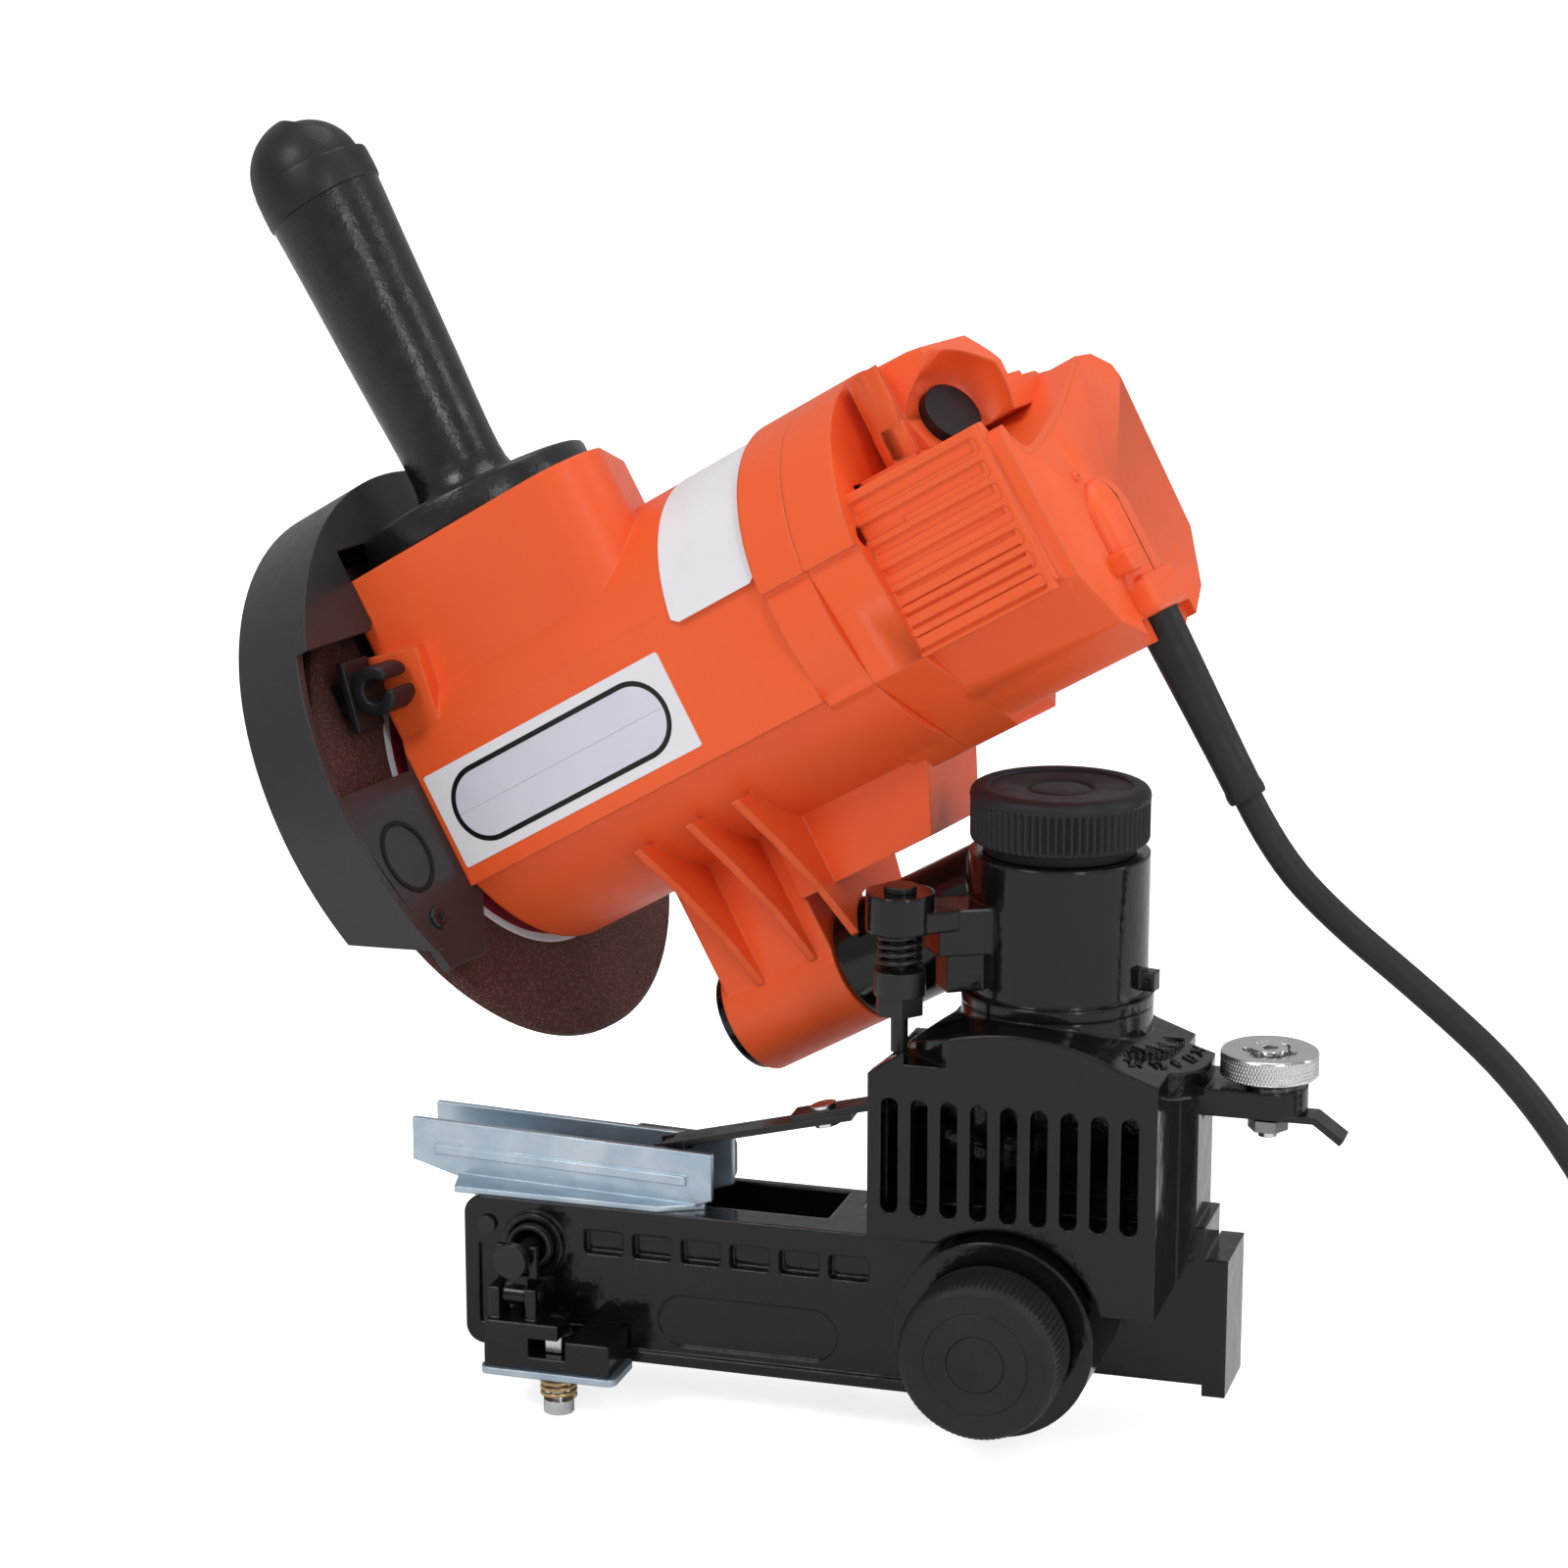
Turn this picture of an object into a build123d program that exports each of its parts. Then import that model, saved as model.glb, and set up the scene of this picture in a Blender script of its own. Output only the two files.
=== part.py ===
"""Electric chain sharpener: a 145 mm grinding wheel on a universal motor, hinged on a swivelling
column above a tilting chain vise.

World axes: X to the right along the vise arm, Y to the back, Z up, with the origin at the middle
of the mounting tongue's end face.  Each swivelled or tilted group is built in a frame of its own:
COLUMN about the column axis, HEAD with x along the motor and z towards the handle, HINGE on the
head's hinge pin, VISE along the rails, LINK along the chain stop.
"""
from build123d import *
import os
from math import cos, radians, sin, tan

os.makedirs("parts", exist_ok=True)

# ---------------------------------------------------------------- driving dimensions (mm, degrees)
fit = 0.05                     # radial clearance of a running shaft
gap = 0.3                      # working gap between pieces that move past each other

# mounting tongue and rear frame
tongue_thick, tongue_deep, tongue_high = 6.0, 23.0, 37.0
frame_front, frame_back, frame_wall = -11.5, 8.5, 5.0
frame_left, frame_bottom, frame_step = -84.0, -15.5, 27.0
post_left, post_right = -14.0, -8.5
back_bolt_radius, back_bolt_spacing, back_bolt_depth = 2.5, 46.0, 9.0

# hood over the vise pivot
hood_left, hood_right, hood_front, hood_wall = -87.5, -13.5, -39.5, 5.0
hood_bottom, hood_lip, rim_thick = 11.0, 26.0, 7.0
eaves_height, crown_height, shoulder_x, shoulder_height, roof_end_x, roof_end_height = 69.3, 82.0, -23.3, 75.6, -3.0, 68.2
slot_count, slot_first, slot_pitch, slot_width, slot_low, slot_high = 9, -81.8, 7.69, 4.5, 32.8, 63.3
scale_radius, ring_radius, scale_from, scale_sweep = 40.5, 26.0, -50.0, 58.0
scale_marks, mark_step, mark_high = 13, 4.0, 0.7

# column with its stud and clamping knob
column_x, column_y, column_radius = -47.0, -4.5, 23.0
seat_height, column_top, stud_radius = 82.6, 121.5, 6.0
swivel = -10.0
column_knob_radius, column_knob_neck, column_knob_top = 22.8, 124.5, 138.6

# index pin on the column bracket, in the column frame
pin_x, pin_y, pin_radius, pin_tip, pin_head = -29.8, -31.4, 2.2, 73.0, 116.2
pin_boss_radius, pin_boss_low, pin_boss_high = 8.7, 104.7, 114.5
pin_collar_radius, pin_collar_low, pin_collar_high = 6.6, 83.0, 94.5
pin_arm_low, pin_arm_high = 98.0, 110.0

# vise arm, its hub and the tilt knob
hub_x, hub_z, hub_radius, hub_front, hub_back = -53.5, 3.5, 25.8, -44.0, -12.5
arm_left, arm_right, arm_front, arm_bottom, arm_top = -199.0, -96.0, -33.0, -17.0, 24.0
channel_left, channel_right, channel_front, channel_back, channel_floor = -192.0, -102.0, -24.0, -2.5, -3.0
pocket_count, pocket_first, pocket_pitch, pocket_wide, pocket_low, pocket_high = 6, -165.9, 13.3, 10.7, 11.0, 17.5
tilt_bolt_radius, tilt_knob_radius, tilt_knob_face = 5.0, 20.7, -62.0

# rails and clamp, in the vise frame
rail_x, rail_y, rail_yaw = -174.5, -16.5, -5.0
rail_half, rail_height, rail_sheet, chain_gap, jaw_travel = 43.0, 15.5, 1.6, 13.0, 3.0
rod_x, rod_z, rod_radius, rod_front, disc_radius = -3.5, -11.6, 2.5, -32.5, 4.5
lever_x, lever_y, lever_z, lever_swing = -180.4, -44.0, 2.2, 5.4
adjust_x, adjust_y, adjust_radius, adjust_head_z = -170.0, -42.0, 2.0, -29.6
block_left, block_right, block_front, block_bottom = -187.5, -153.5, -50.0, -16.0

# chain stop
lug_x, lug_y, lug_low, lug_thick, lug_radius = 7.5, -1.5, 57.0, 7.0, 10.0
strip_width, strip_thick, strip_top, bend_x, link_yaw, link_slope = 8.0, 1.8, 56.8, -84.0, 2.2, 13.4
stop_screw_radius, stop_knob_radius, stop_knob_high, stop_travel = 2.5, 12.5, 7.0, 6.0
rivet_s, pawl_s, pawl_z = -21.6, -65.5, -3.4

# motor head, in the head frame
tilt, wheel_out, hinge_back, wheel_level, hinge_drop = 30.0, -173.0, 11.6, 116.3, 87.0
wheel_radius, wheel_thick, spindle_radius, spigot_radius = 72.5, 4.5, 5.0, 11.1
body_radius, body_inner, body_front, body_seam, cover_end = 47.5, 41.5, 9.0, 142.0, 203.0
flange_length, flange_radius, front_wall = 16.0, 49.5, 5.0
pad_face, pad_low, pad_high = -44.5, -22.5, 10.5
tower_near_end, tower_far_end, tower_corner = 98.0, 62.0, 14.0
tower_half, tower_high, tower_wall = 38.0, 64.0, 4.5
barrel_radius, barrel_start, barrel_end, hinge_pin_radius, bracket_start = 16.0, 44.0, 81.0, 6.0, 82.0
rib_stations, rib_thick = (57.6, 75.1, 90.4), 2.4
guard_radius, guard_lift, guard_wall, guard_outer, guard_inner = 84.0, 6.0, 2.5, -10.0, 14.0
handle_s, handle_disc_radius, handle_disc_thick = 35.5, 32.0, 6.5
handle_neck_radius, handle_top_radius, handle_high = 13.2, 16.6, 187.0
switch_s, switch_y, switch_h, switch_yaw, switch_pitch = 178.0, -11.0, 27.5, -24.0, 41.0
button_radius, button_high, well_radius, collar_radius = 8.2, 6.4, 13.0, 19.0
vent_count, vent_pitch, vent_start, vent_end, vent_deep = 7, 5.6, 158.5, 195.0, 2.4
bearing_radius, bearing_width, front_bearing_s, rear_bearing_s = 13.0, 9.0, 14.0, 187.0
core_start, core_end, core_radius, stator_bore = 56.0, 104.0, 24.0, 25.0

# cord
sleeve_s, sleeve_top, sleeve_end, sleeve_radius, cord_radius = 200.0, -38.0, -91.0, 5.9, 3.7
floor_z, coil_x, coil_y, coil_mean, coil_turns_wide, coil_turns_high = -29.6, 199.0, 34.0, 36.0, 3, 2


# ---------------------------------------------------------------- frames and shared operations
def turned(origin, yaw, pitch=0.0):
    """Frame whose x axis is turned by yaw about Z and then raised by pitch."""
    cy, sy, cp, sp = cos(radians(yaw)), sin(radians(yaw)), cos(radians(pitch)), sin(radians(pitch))
    return Plane(origin=origin, x_dir=(cy * cp, sy * cp, sp), z_dir=(-cy * sp, -sy * sp, cp))


def across(frame, x=0.0, y=0.0, z=0.0):
    """Plane square to the frame's x axis, with sketch axes (y, z)."""
    return Plane(frame.from_local_coords((x, y, z)), x_dir=frame.y_dir, z_dir=frame.x_dir)


def facing(frame, x=0.0, y=0.0, z=0.0):
    """Plane that faces the front, with sketch axes (x, z); it extrudes to the front."""
    return Plane(frame.from_local_coords((x, y, z)), x_dir=frame.x_dir, z_dir=-frame.y_dir)


def level(frame, x=0.0, y=0.0, z=0.0):
    """Plane square to the frame's z axis, with sketch axes (x, y)."""
    return Plane(frame.from_local_coords((x, y, z)), x_dir=frame.x_dir, z_dir=frame.z_dir)


BASE = Plane.XY
COLUMN = turned((column_x, column_y, 0), swivel)
HEAD = turned(COLUMN.from_local_coords((wheel_out, hinge_back, wheel_level)), swivel, tilt)
HINGE = turned(HEAD.from_local_coords((0, 0, -hinge_drop)), swivel, tilt)
VISE = turned((rail_x, rail_y, arm_top), rail_yaw)
HUB = turned((hub_x, 0, hub_z), 0)
SWITCH_FACE = turned(HEAD.from_local_coords((switch_s, switch_y, switch_h)), swivel + switch_yaw, switch_pitch)
SWITCH = Plane(SWITCH_FACE.origin, x_dir=SWITCH_FACE.y_dir, z_dir=SWITCH_FACE.x_dir)
LINK = turned((bend_x, rail_y, strip_top - strip_thick / 2), link_yaw, link_slope)


def save(piece, name):
    piece.part.label = name
    export_step(piece.part, f"parts/{name}.step")


def cylinder(plane, radius, length, bore=0.0, mode=Mode.ADD):
    """Round bar that stands on the plane or, with a bore, a tube."""
    with BuildSketch(plane) as disc:
        Circle(radius)
        if bore:
            Circle(bore, mode=Mode.SUBTRACT)
    extrude(disc.sketch, amount=length, mode=mode)


def block(plane, low, high, length, mode=Mode.ADD, rounding=0.0):
    """Prism over the rectangle between two corners of the plane."""
    width, height = high[0] - low[0], high[1] - low[1]
    with BuildSketch(plane) as face:
        with Locations(((low[0] + high[0]) / 2, (low[1] + high[1]) / 2)):
            if rounding:
                RectangleRounded(width, height, rounding)
            else:
                Rectangle(width, height)
    extrude(face.sketch, amount=length, mode=mode)


def prism(plane, points, length, mode=Mode.ADD):
    """Prism over a closed polygon."""
    with BuildSketch(plane) as face:
        with BuildLine():
            Polyline(*points, close=True)
        make_face()
    extrude(face.sketch, amount=length, mode=mode)


def hexagon(plane, across_flats, length, bore=0.0, mode=Mode.ADD):
    with BuildSketch(plane) as face:
        RegularPolygon(across_flats / 2, 6, major_radius=False)
        if bore:
            Circle(bore, mode=Mode.SUBTRACT)
    extrude(face.sketch, amount=length, mode=mode)


def spring(plane, radius, wire, length, turns):
    """Round-wire compression spring that stands on the plane."""
    foot = plane.offset(wire)
    rise = length - 2 * wire
    with BuildLine() as coil:
        Helix(rise / turns, rise, radius, center=tuple(foot.origin), direction=tuple(foot.z_dir))
    with BuildSketch(Plane(coil.line @ 0, z_dir=coil.line % 0)) as section:
        Circle(wire)
    sweep(section.sketch, path=coil.line)


def moulded_knob(plane, radius, height):
    """Moulded knob with a raised crown and two grooves in its face."""
    cylinder(plane, radius, height - 1)
    cylinder(plane, radius - 1.4, height)
    for ring in (0.78, 0.4):
        cylinder(plane.offset(height - 0.7), radius * ring, 2, bore=radius * ring - 0.9, mode=Mode.SUBTRACT)


# ---------------------------------------------------------------- fixed base
def arch(drop):
    """The hood's arched edge, lowered by drop, from the eaves to the shoulder and the roof's end."""
    rise = ThreePointArc((hood_left, eaves_height - drop), (column_x, crown_height - drop), (shoulder_x, shoulder_height - drop))
    Line(rise @ 1, (roof_end_x, roof_end_height - drop))


with BuildPart() as base_casting:
    # roof: a vault cut to the plan of the hood, the column seat and the scale sector
    with BuildSketch(level(BASE, z=50)):
        with BuildLine():
            Polyline((hood_left, hood_front), (hood_right, hood_front), (hood_right, frame_back), (-66, frame_back), (-71.5, column_y), close=True)
        make_face()
        with Locations((column_x, column_y)):
            Circle(ring_radius)
        with BuildLine():
            sector = CenterArc((column_x, column_y), scale_radius, scale_from, scale_sweep)
            Polyline(sector @ 1, (column_x, column_y), sector @ 0)
        make_face()
    extrude(amount=45)
    with BuildSketch(facing(BASE, y=30)):
        with BuildLine():
            arch(0)
            arch(rim_thick)
            Line((hood_left, eaves_height), (hood_left, eaves_height - rim_thick))
            Line((roof_end_x, roof_end_height), (roof_end_x, roof_end_height - rim_thick))
        make_face()
    extrude(amount=80, mode=Mode.INTERSECT)
    # front plate with the arch over the vise hub, and the right side wall
    with BuildSketch(facing(BASE, y=hood_front + hood_wall)):
        with BuildLine():
            rise = ThreePointArc((hood_left, eaves_height), (column_x, crown_height), (shoulder_x, shoulder_height))
            slope_end = (hood_right, shoulder_height - (hood_right - shoulder_x) * 0.365)
            Polyline(rise @ 1, slope_end, (hood_right, hood_bottom), (hub_x, hood_bottom), (hub_x, hood_lip), (hood_left, hood_lip), rise @ 0)
        make_face()
        with Locations((hub_x, hub_z)):
            Circle(hub_radius + 1.6, mode=Mode.SUBTRACT)
    extrude(amount=hood_wall)
    block(facing(BASE, y=frame_front), (hood_right - hood_wall, hood_bottom), (hood_right, shoulder_height - 8), frame_front - hood_front)
    with BuildSketch(facing(BASE, y=hood_front + hood_wall)):
        for i in range(slot_count):
            with Locations((slot_first + i * slot_pitch, (slot_low + slot_high) / 2)):
                SlotOverall(slot_high - slot_low, slot_width, rotation=90)
    extrude(amount=hood_wall, mode=Mode.SUBTRACT)
    # rear frame, post, rear wall and column seat
    block(facing(BASE, y=frame_back), (frame_left, frame_bottom), (-tongue_thick, frame_step), frame_back - frame_front)
    block(facing(BASE, y=tongue_deep / 2), (-tongue_thick, -tongue_high / 2), (0, tongue_high / 2), tongue_deep)
    block(facing(BASE, y=frame_back), (post_left, frame_step), (post_right, 66), frame_back - frame_front)
    block(facing(BASE, y=frame_back), (-66, frame_step), (post_right, 66), frame_wall)
    cylinder(level(BASE, column_x, column_y, 66), 13, 6)
    cylinder(level(BASE, column_x, column_y, 70), 24.5, seat_height - 70)
    # left wall with the window of the chain stop's bar
    block(across(BASE, hood_left), (hood_front + hood_wall, frame_step), (frame_back, eaves_height - 2), 4)
    block(across(BASE, hood_left - 1), (rail_y - 6.5, 50.5), (rail_y + 8.5, 60.5), 6, mode=Mode.SUBTRACT)
    # lug of the chain stop
    block(level(BASE, z=lug_low), (post_left, lug_y - lug_radius), (lug_x, lug_y + lug_radius), lug_thick)
    cylinder(level(BASE, lug_x, lug_y, lug_low), lug_radius, lug_thick)
    # pocket in the frame's back with the pivot boss and the two threaded bosses
    block(facing(BASE, y=frame_back), (frame_left + frame_wall, frame_bottom + frame_wall), (post_right - frame_wall, frame_step - frame_wall), frame_back - frame_front - frame_wall - 0.5, mode=Mode.SUBTRACT)
    cylinder(facing(HUB, y=0.4), 12.5, 7)
    for side in (-1, 1):
        cylinder(facing(HUB, x=side * back_bolt_spacing / 2, y=frame_back), 7.5, frame_back + 6.5)
        cylinder(facing(HUB, x=side * back_bolt_spacing / 2, y=frame_back), back_bolt_radius, back_bolt_depth, mode=Mode.SUBTRACT)
    # running bores, the bar's window in the post and the index pin's track in the roof
    cylinder(facing(HUB, y=5), tilt_bolt_radius + fit, 20, mode=Mode.SUBTRACT)
    cylinder(level(BASE, column_x, column_y, 60), stud_radius + fit, 30, mode=Mode.SUBTRACT)
    cylinder(level(BASE, lug_x, lug_y, lug_low), stop_screw_radius + fit, lug_thick, mode=Mode.SUBTRACT)
    block(level(BASE, z=lug_low - 2.6), (post_left - 1, lug_y - 4.8), (post_right + 1, lug_y + 4.8), 2.6, mode=Mode.SUBTRACT)
    track_radius = (pin_x ** 2 + pin_y ** 2) ** 0.5
    with BuildSketch(level(BASE, column_x, column_y, pin_tip - 0.7)):
        with BuildLine():
            outer = CenterArc((0, 0), track_radius + 3.6, -182, 62)
            inner = CenterArc((0, 0), track_radius - 3.6, -182, 62)
            Line(outer @ 0, inner @ 0)
            Line(outer @ 1, inner @ 1)
        make_face()
    extrude(amount=12, mode=Mode.SUBTRACT)
    # raised marks of the swivel scale
    for i in range(scale_marks):
        mark = turned((column_x, column_y, 0), scale_from + 4 + i * mark_step)
        reach = 8.0 if i % 3 == 0 else 5.0
        radius = 33.0 - reach / 2
        mark_x = mark.from_local_coords((radius, 0, 0)).X
        mark_z = shoulder_height - (mark_x - shoulder_x) * 0.365 if mark_x > shoulder_x else shoulder_height
        block(level(mark, z=mark_z - 1.5), (33 - reach, -0.4), (33, 0.4), 1.5 + mark_high)
save(base_casting, "base_casting")

with BuildPart() as pivot_stud:
    hexagon(level(BASE, column_x, column_y, 59), 15, 7)
    cylinder(level(BASE, column_x, column_y, 59), stud_radius, 72)
save(pivot_stud, "pivot_stud")

with BuildPart() as tilt_bolt:
    hexagon(facing(HUB, y=6.8), 17, 6.4)
    cylinder(facing(HUB, y=6.8), tilt_bolt_radius, 6.8 + 56)
save(tilt_bolt, "tilt_bolt")

# ---------------------------------------------------------------- vise arm
with BuildPart() as vise_arm:
    block(facing(BASE, y=0), (arm_left, arm_bottom), (arm_right, arm_top), -arm_front, rounding=5)
    block(facing(BASE, y=0), (arm_left + 20, arm_bottom), (arm_right, arm_top), -arm_front)
    block(facing(BASE, y=hub_back), (arm_right - 1, arm_bottom), (hub_x, arm_top), hub_back - arm_front)
    block(facing(BASE, y=arm_front), (arm_left + 6, arm_bottom), (hub_x, arm_bottom + 3), 1.4)
    cylinder(facing(HUB, y=hub_back), hub_radius, hub_back - hub_front)
    cylinder(facing(VISE, x=rod_x, y=-16, z=rod_z), 8.6, 2.6)
    block(level(BASE, z=channel_floor), (channel_left, channel_front), (channel_right, channel_back), 40, mode=Mode.SUBTRACT)
    cylinder(facing(VISE, x=rod_x, y=0, z=rod_z), rod_radius + fit, 40, mode=Mode.SUBTRACT)
    cylinder(facing(VISE, x=rod_x, y=-13.2, z=rod_z), 6.9, 20, mode=Mode.SUBTRACT)
    cylinder(facing(HUB, y=hub_back), tilt_bolt_radius + fit, 40, mode=Mode.SUBTRACT)
    # row of cored pockets, the badge recess and the lower-left panel of the front face
    for i in range(pocket_count):
        left = pocket_first + i * pocket_pitch
        block(facing(BASE, y=arm_front + 3), (left, pocket_low), (left + pocket_wide, pocket_high), 3, mode=Mode.SUBTRACT, rounding=1)
    with BuildSketch(facing(BASE, y=arm_front + 0.8)):
        with Locations((-121.3, -5)):
            SlotOverall(48.6, 14)
    extrude(amount=0.8, mode=Mode.SUBTRACT)
    block(facing(BASE, y=arm_front + 1.2), (arm_left + 4, -11), (arm_left + 12, 11), 1.2, mode=Mode.SUBTRACT)
save(vise_arm, "vise_arm")

with BuildPart() as arm_rivet:
    cylinder(facing(BASE, arm_left + 6.5, arm_front, 16.5), 2.4, 1.2)
save(arm_rivet, "arm_rivet")


def rail_outline(bottom):
    low_left, low_right = (-27, bottom), (36, bottom)
    return [(-rail_half, rail_height), (-rail_half, 4), low_left, low_right, (rail_half, 3), (rail_half, rail_height)]


half_gap = chain_gap / 2
with BuildPart() as front_rail:
    prism(facing(VISE, y=-half_gap), rail_outline(0), rail_sheet)
    block(facing(VISE, y=-half_gap), (-36, 6.5), (36, 9), rail_sheet + 1)
    prism(level(VISE), [(-30, -half_gap), (-26, -18.2), (30, -13.4), (41, -half_gap)], rail_sheet)
save(front_rail, "front_rail")

with BuildPart() as rear_rail:
    prism(facing(VISE, y=half_gap + rail_sheet), rail_outline(0.4), rail_sheet)
save(rear_rail, "rear_rail")

jaw_front = half_gap + rail_sheet
with BuildPart() as rear_jaw:
    block(level(VISE, z=gap), (-22, jaw_front), (40, jaw_front + 3), 10.5)
    block(facing(VISE, y=jaw_front + 9), (10, gap), (40, 13), 9, rounding=3)
    block(level(VISE, z=rod_z - 5), (-10, 4.4), (10, 9.4), 5 - rod_z)
    block(level(VISE, z=rod_z), (-10, jaw_front), (10, 9.4), 8 - rod_z)
    cylinder(facing(VISE, x=rod_x, y=12, z=rod_z), rod_radius, 20, mode=Mode.SUBTRACT)
save(rear_jaw, "rear_jaw")

with BuildPart() as clamp_rod:
    cylinder(facing(VISE, x=rod_x, y=9.4, z=rod_z), rod_radius, 9.4 - rod_front)
    cylinder(facing(VISE, x=rod_x, y=rod_front + 2.8, z=rod_z), disc_radius, 2.8)
save(clamp_rod, "clamp_rod")

spring_foot = -13.3
with BuildPart() as clamp_spring:
    spring_length = spring_foot - (lever_y - rail_y + lever_swing) - 3 * gap
    spring(facing(VISE, x=rod_x, y=spring_foot, z=rod_z), 5.4, 0.8, spring_length, 5)
save(clamp_spring, "clamp_spring")

with BuildPart() as lever_block:
    block(facing(BASE, y=arm_front - 1.4), (block_left, block_bottom), (block_right, -7.5), arm_front - 1.4 - block_front)
    block(facing(BASE, y=arm_front), (block_left + 3, -12), (block_right - 2, -7.5), 3)
    block(facing(BASE, y=-40), (lever_x - 6.5, -8), (lever_x + 13, -3.4), -40 - block_front)
    for side in (-1, 1):
        ear = lever_x + side * 5
        block(facing(BASE, y=-40), (ear - 1.4, -4), (ear + 1.4, lever_z + 2.8), 8)
    cylinder(across(BASE, lever_x - 10, lever_y, lever_z), 1.5, 20, mode=Mode.SUBTRACT)
    block(facing(BASE, y=-36.5), (adjust_x - 5.5, -12.6), (adjust_x + 4.8, -7.4), 20, mode=Mode.SUBTRACT)
    cylinder(level(BASE, adjust_x, adjust_y, block_bottom), adjust_radius + fit, 14, mode=Mode.SUBTRACT)
save(lever_block, "lever_block")

with BuildPart() as lever_pin:
    cylinder(across(BASE, lever_x - 6.6, lever_y, lever_z), 1.5, 13.2)
save(lever_pin, "lever_pin")

with BuildPart() as clamp_lever:
    cylinder(across(BASE, lever_x - 3.2, lever_y, lever_z), 2.8, 6.4)
    block(facing(BASE, y=lever_y + 1.4), (lever_x - 3.2, lever_z), (lever_x + 3.2, 7.5), 2)
    block(facing(BASE, y=lever_y + 1.4), (lever_x - 5.6, 6.7), (lever_x + 5.6, 15.5), 2)
    slot_bottom = arm_top + rod_z - disc_radius - gap
    block(facing(BASE, y=lever_y + 2), (lever_x - 3.6, slot_bottom), (lever_x + 3.6, 16), 4, mode=Mode.SUBTRACT)
    cylinder(across(BASE, lever_x - 4, lever_y, lever_z), 1.5 + fit, 8, mode=Mode.SUBTRACT)
save(clamp_lever, "clamp_lever")

with BuildPart() as spring_plate:
    block(level(BASE, z=block_bottom - 1.8), (block_left - 1, block_front - 1.5), (block_right + 2, arm_front - 1.6), 1.8, rounding=2.5)
    cylinder(level(BASE, adjust_x, adjust_y, -20), adjust_radius + fit, 6, mode=Mode.SUBTRACT)
save(spring_plate, "spring_plate")

with BuildPart() as adjust_nut:
    hexagon(level(BASE, adjust_x, adjust_y, -12.3), 7.6, 4.6, bore=adjust_radius + fit)
save(adjust_nut, "adjust_nut")

with BuildPart() as adjust_screw:
    cylinder(level(BASE, adjust_x, adjust_y, adjust_head_z), 4, 3.6)
    cylinder(level(BASE, adjust_x, adjust_y, adjust_head_z), adjust_radius, -4 - adjust_head_z)
    block(level(BASE, adjust_x, adjust_y, adjust_head_z), (-4, -0.5), (4, 0.5), 1, mode=Mode.SUBTRACT)
save(adjust_screw, "adjust_screw")

with BuildPart() as adjust_spring:
    spring(level(BASE, adjust_x, adjust_y, adjust_head_z + 3.65), 3.6, 0.5, 8.1, 4)
save(adjust_spring, "adjust_spring")

# tilt knob in front of the hub
with BuildPart() as tilt_washer:
    cylinder(facing(HUB, y=hub_front), 12, 1.5, bore=tilt_bolt_radius + fit)
save(tilt_washer, "tilt_washer")

tilt_knob_back = hub_front - 1.6
with BuildPart() as tilt_knob:
    moulded_knob(facing(HUB, y=tilt_knob_back), tilt_knob_radius, tilt_knob_back - tilt_knob_face)
    cylinder(facing(HUB, y=tilt_knob_back), 8, 11.2, mode=Mode.SUBTRACT)
save(tilt_knob, "tilt_knob")

with BuildPart() as tilt_knob_insert:
    cylinder(facing(HUB, y=tilt_knob_back), 8, 11.2, bore=tilt_bolt_radius + fit)
save(tilt_knob_insert, "tilt_knob_insert")

# ---------------------------------------------------------------- chain stop
with BuildPart() as stop_bar:
    tab = [(20, strip_top), (27.5, 51.4), (26.4, 49.9), (19.5, strip_top - strip_thick)]
    prism(facing(BASE, y=lug_y + strip_width / 2), [(-40, strip_top)] + tab + [(-40, strip_top - strip_thick)], strip_width)
    half = strip_width / 2
    jog = [(-36, lug_y + half), (-36, lug_y - half), (-82, rail_y - half), (bend_x, rail_y - half), (bend_x, rail_y + half), (-80, rail_y + half)]
    prism(level(BASE, z=strip_top - strip_thick), jog, strip_thick)
    block(level(LINK, z=-strip_thick / 2), (-30, -half), (0.4, half), strip_thick)
    with BuildSketch(level(BASE, lug_x, lug_y, 50)):
        SlotOverall(2 * (stop_travel + stop_screw_radius + gap), 2 * (stop_screw_radius + gap))
    extrude(amount=8, mode=Mode.SUBTRACT)
    cylinder(level(LINK, rivet_s, 0, -5), 1.8, 10, mode=Mode.SUBTRACT)
save(stop_bar, "stop_bar")

link_z = -strip_thick * 1.5 - fit
with BuildPart() as stop_link:
    block(level(LINK, z=link_z), (-63.5, -half), (-14, half), strip_thick)
    for side in (-1, 1):
        block(facing(LINK, y=side * 3.6 + 0.6), (-68, -5.4), (-60, link_z + strip_thick), 1.2)
    cylinder(level(LINK, rivet_s, 0, -5), 1.8, 10, mode=Mode.SUBTRACT)
    cylinder(facing(LINK, pawl_s, 8, pawl_z), 1.2, 16, mode=Mode.SUBTRACT)
save(stop_link, "stop_link")

with BuildPart() as stop_rivet:
    cylinder(level(LINK, rivet_s, 0, link_z - 1), 1.8, strip_thick / 2 - link_z + 2)
    cylinder(level(LINK, rivet_s, 0, link_z - 1), 3.4, 1)
    cylinder(level(LINK, rivet_s, 0, strip_thick / 2), 3.4, 1)
save(stop_rivet, "stop_rivet")

with BuildPart() as stop_pawl:
    cylinder(facing(LINK, pawl_s, 2.7, pawl_z), 2, 5.4)
    prism(facing(LINK, pawl_s, 2.7, pawl_z), [(-1.4, 1.4), (1.4, -1.4), (-2.6, -4.2), (-4.8, -3.4)], 5.4)
    cylinder(facing(LINK, pawl_s, 4, pawl_z), 1.2 + fit, 8, mode=Mode.SUBTRACT)
save(stop_pawl, "stop_pawl")

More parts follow.
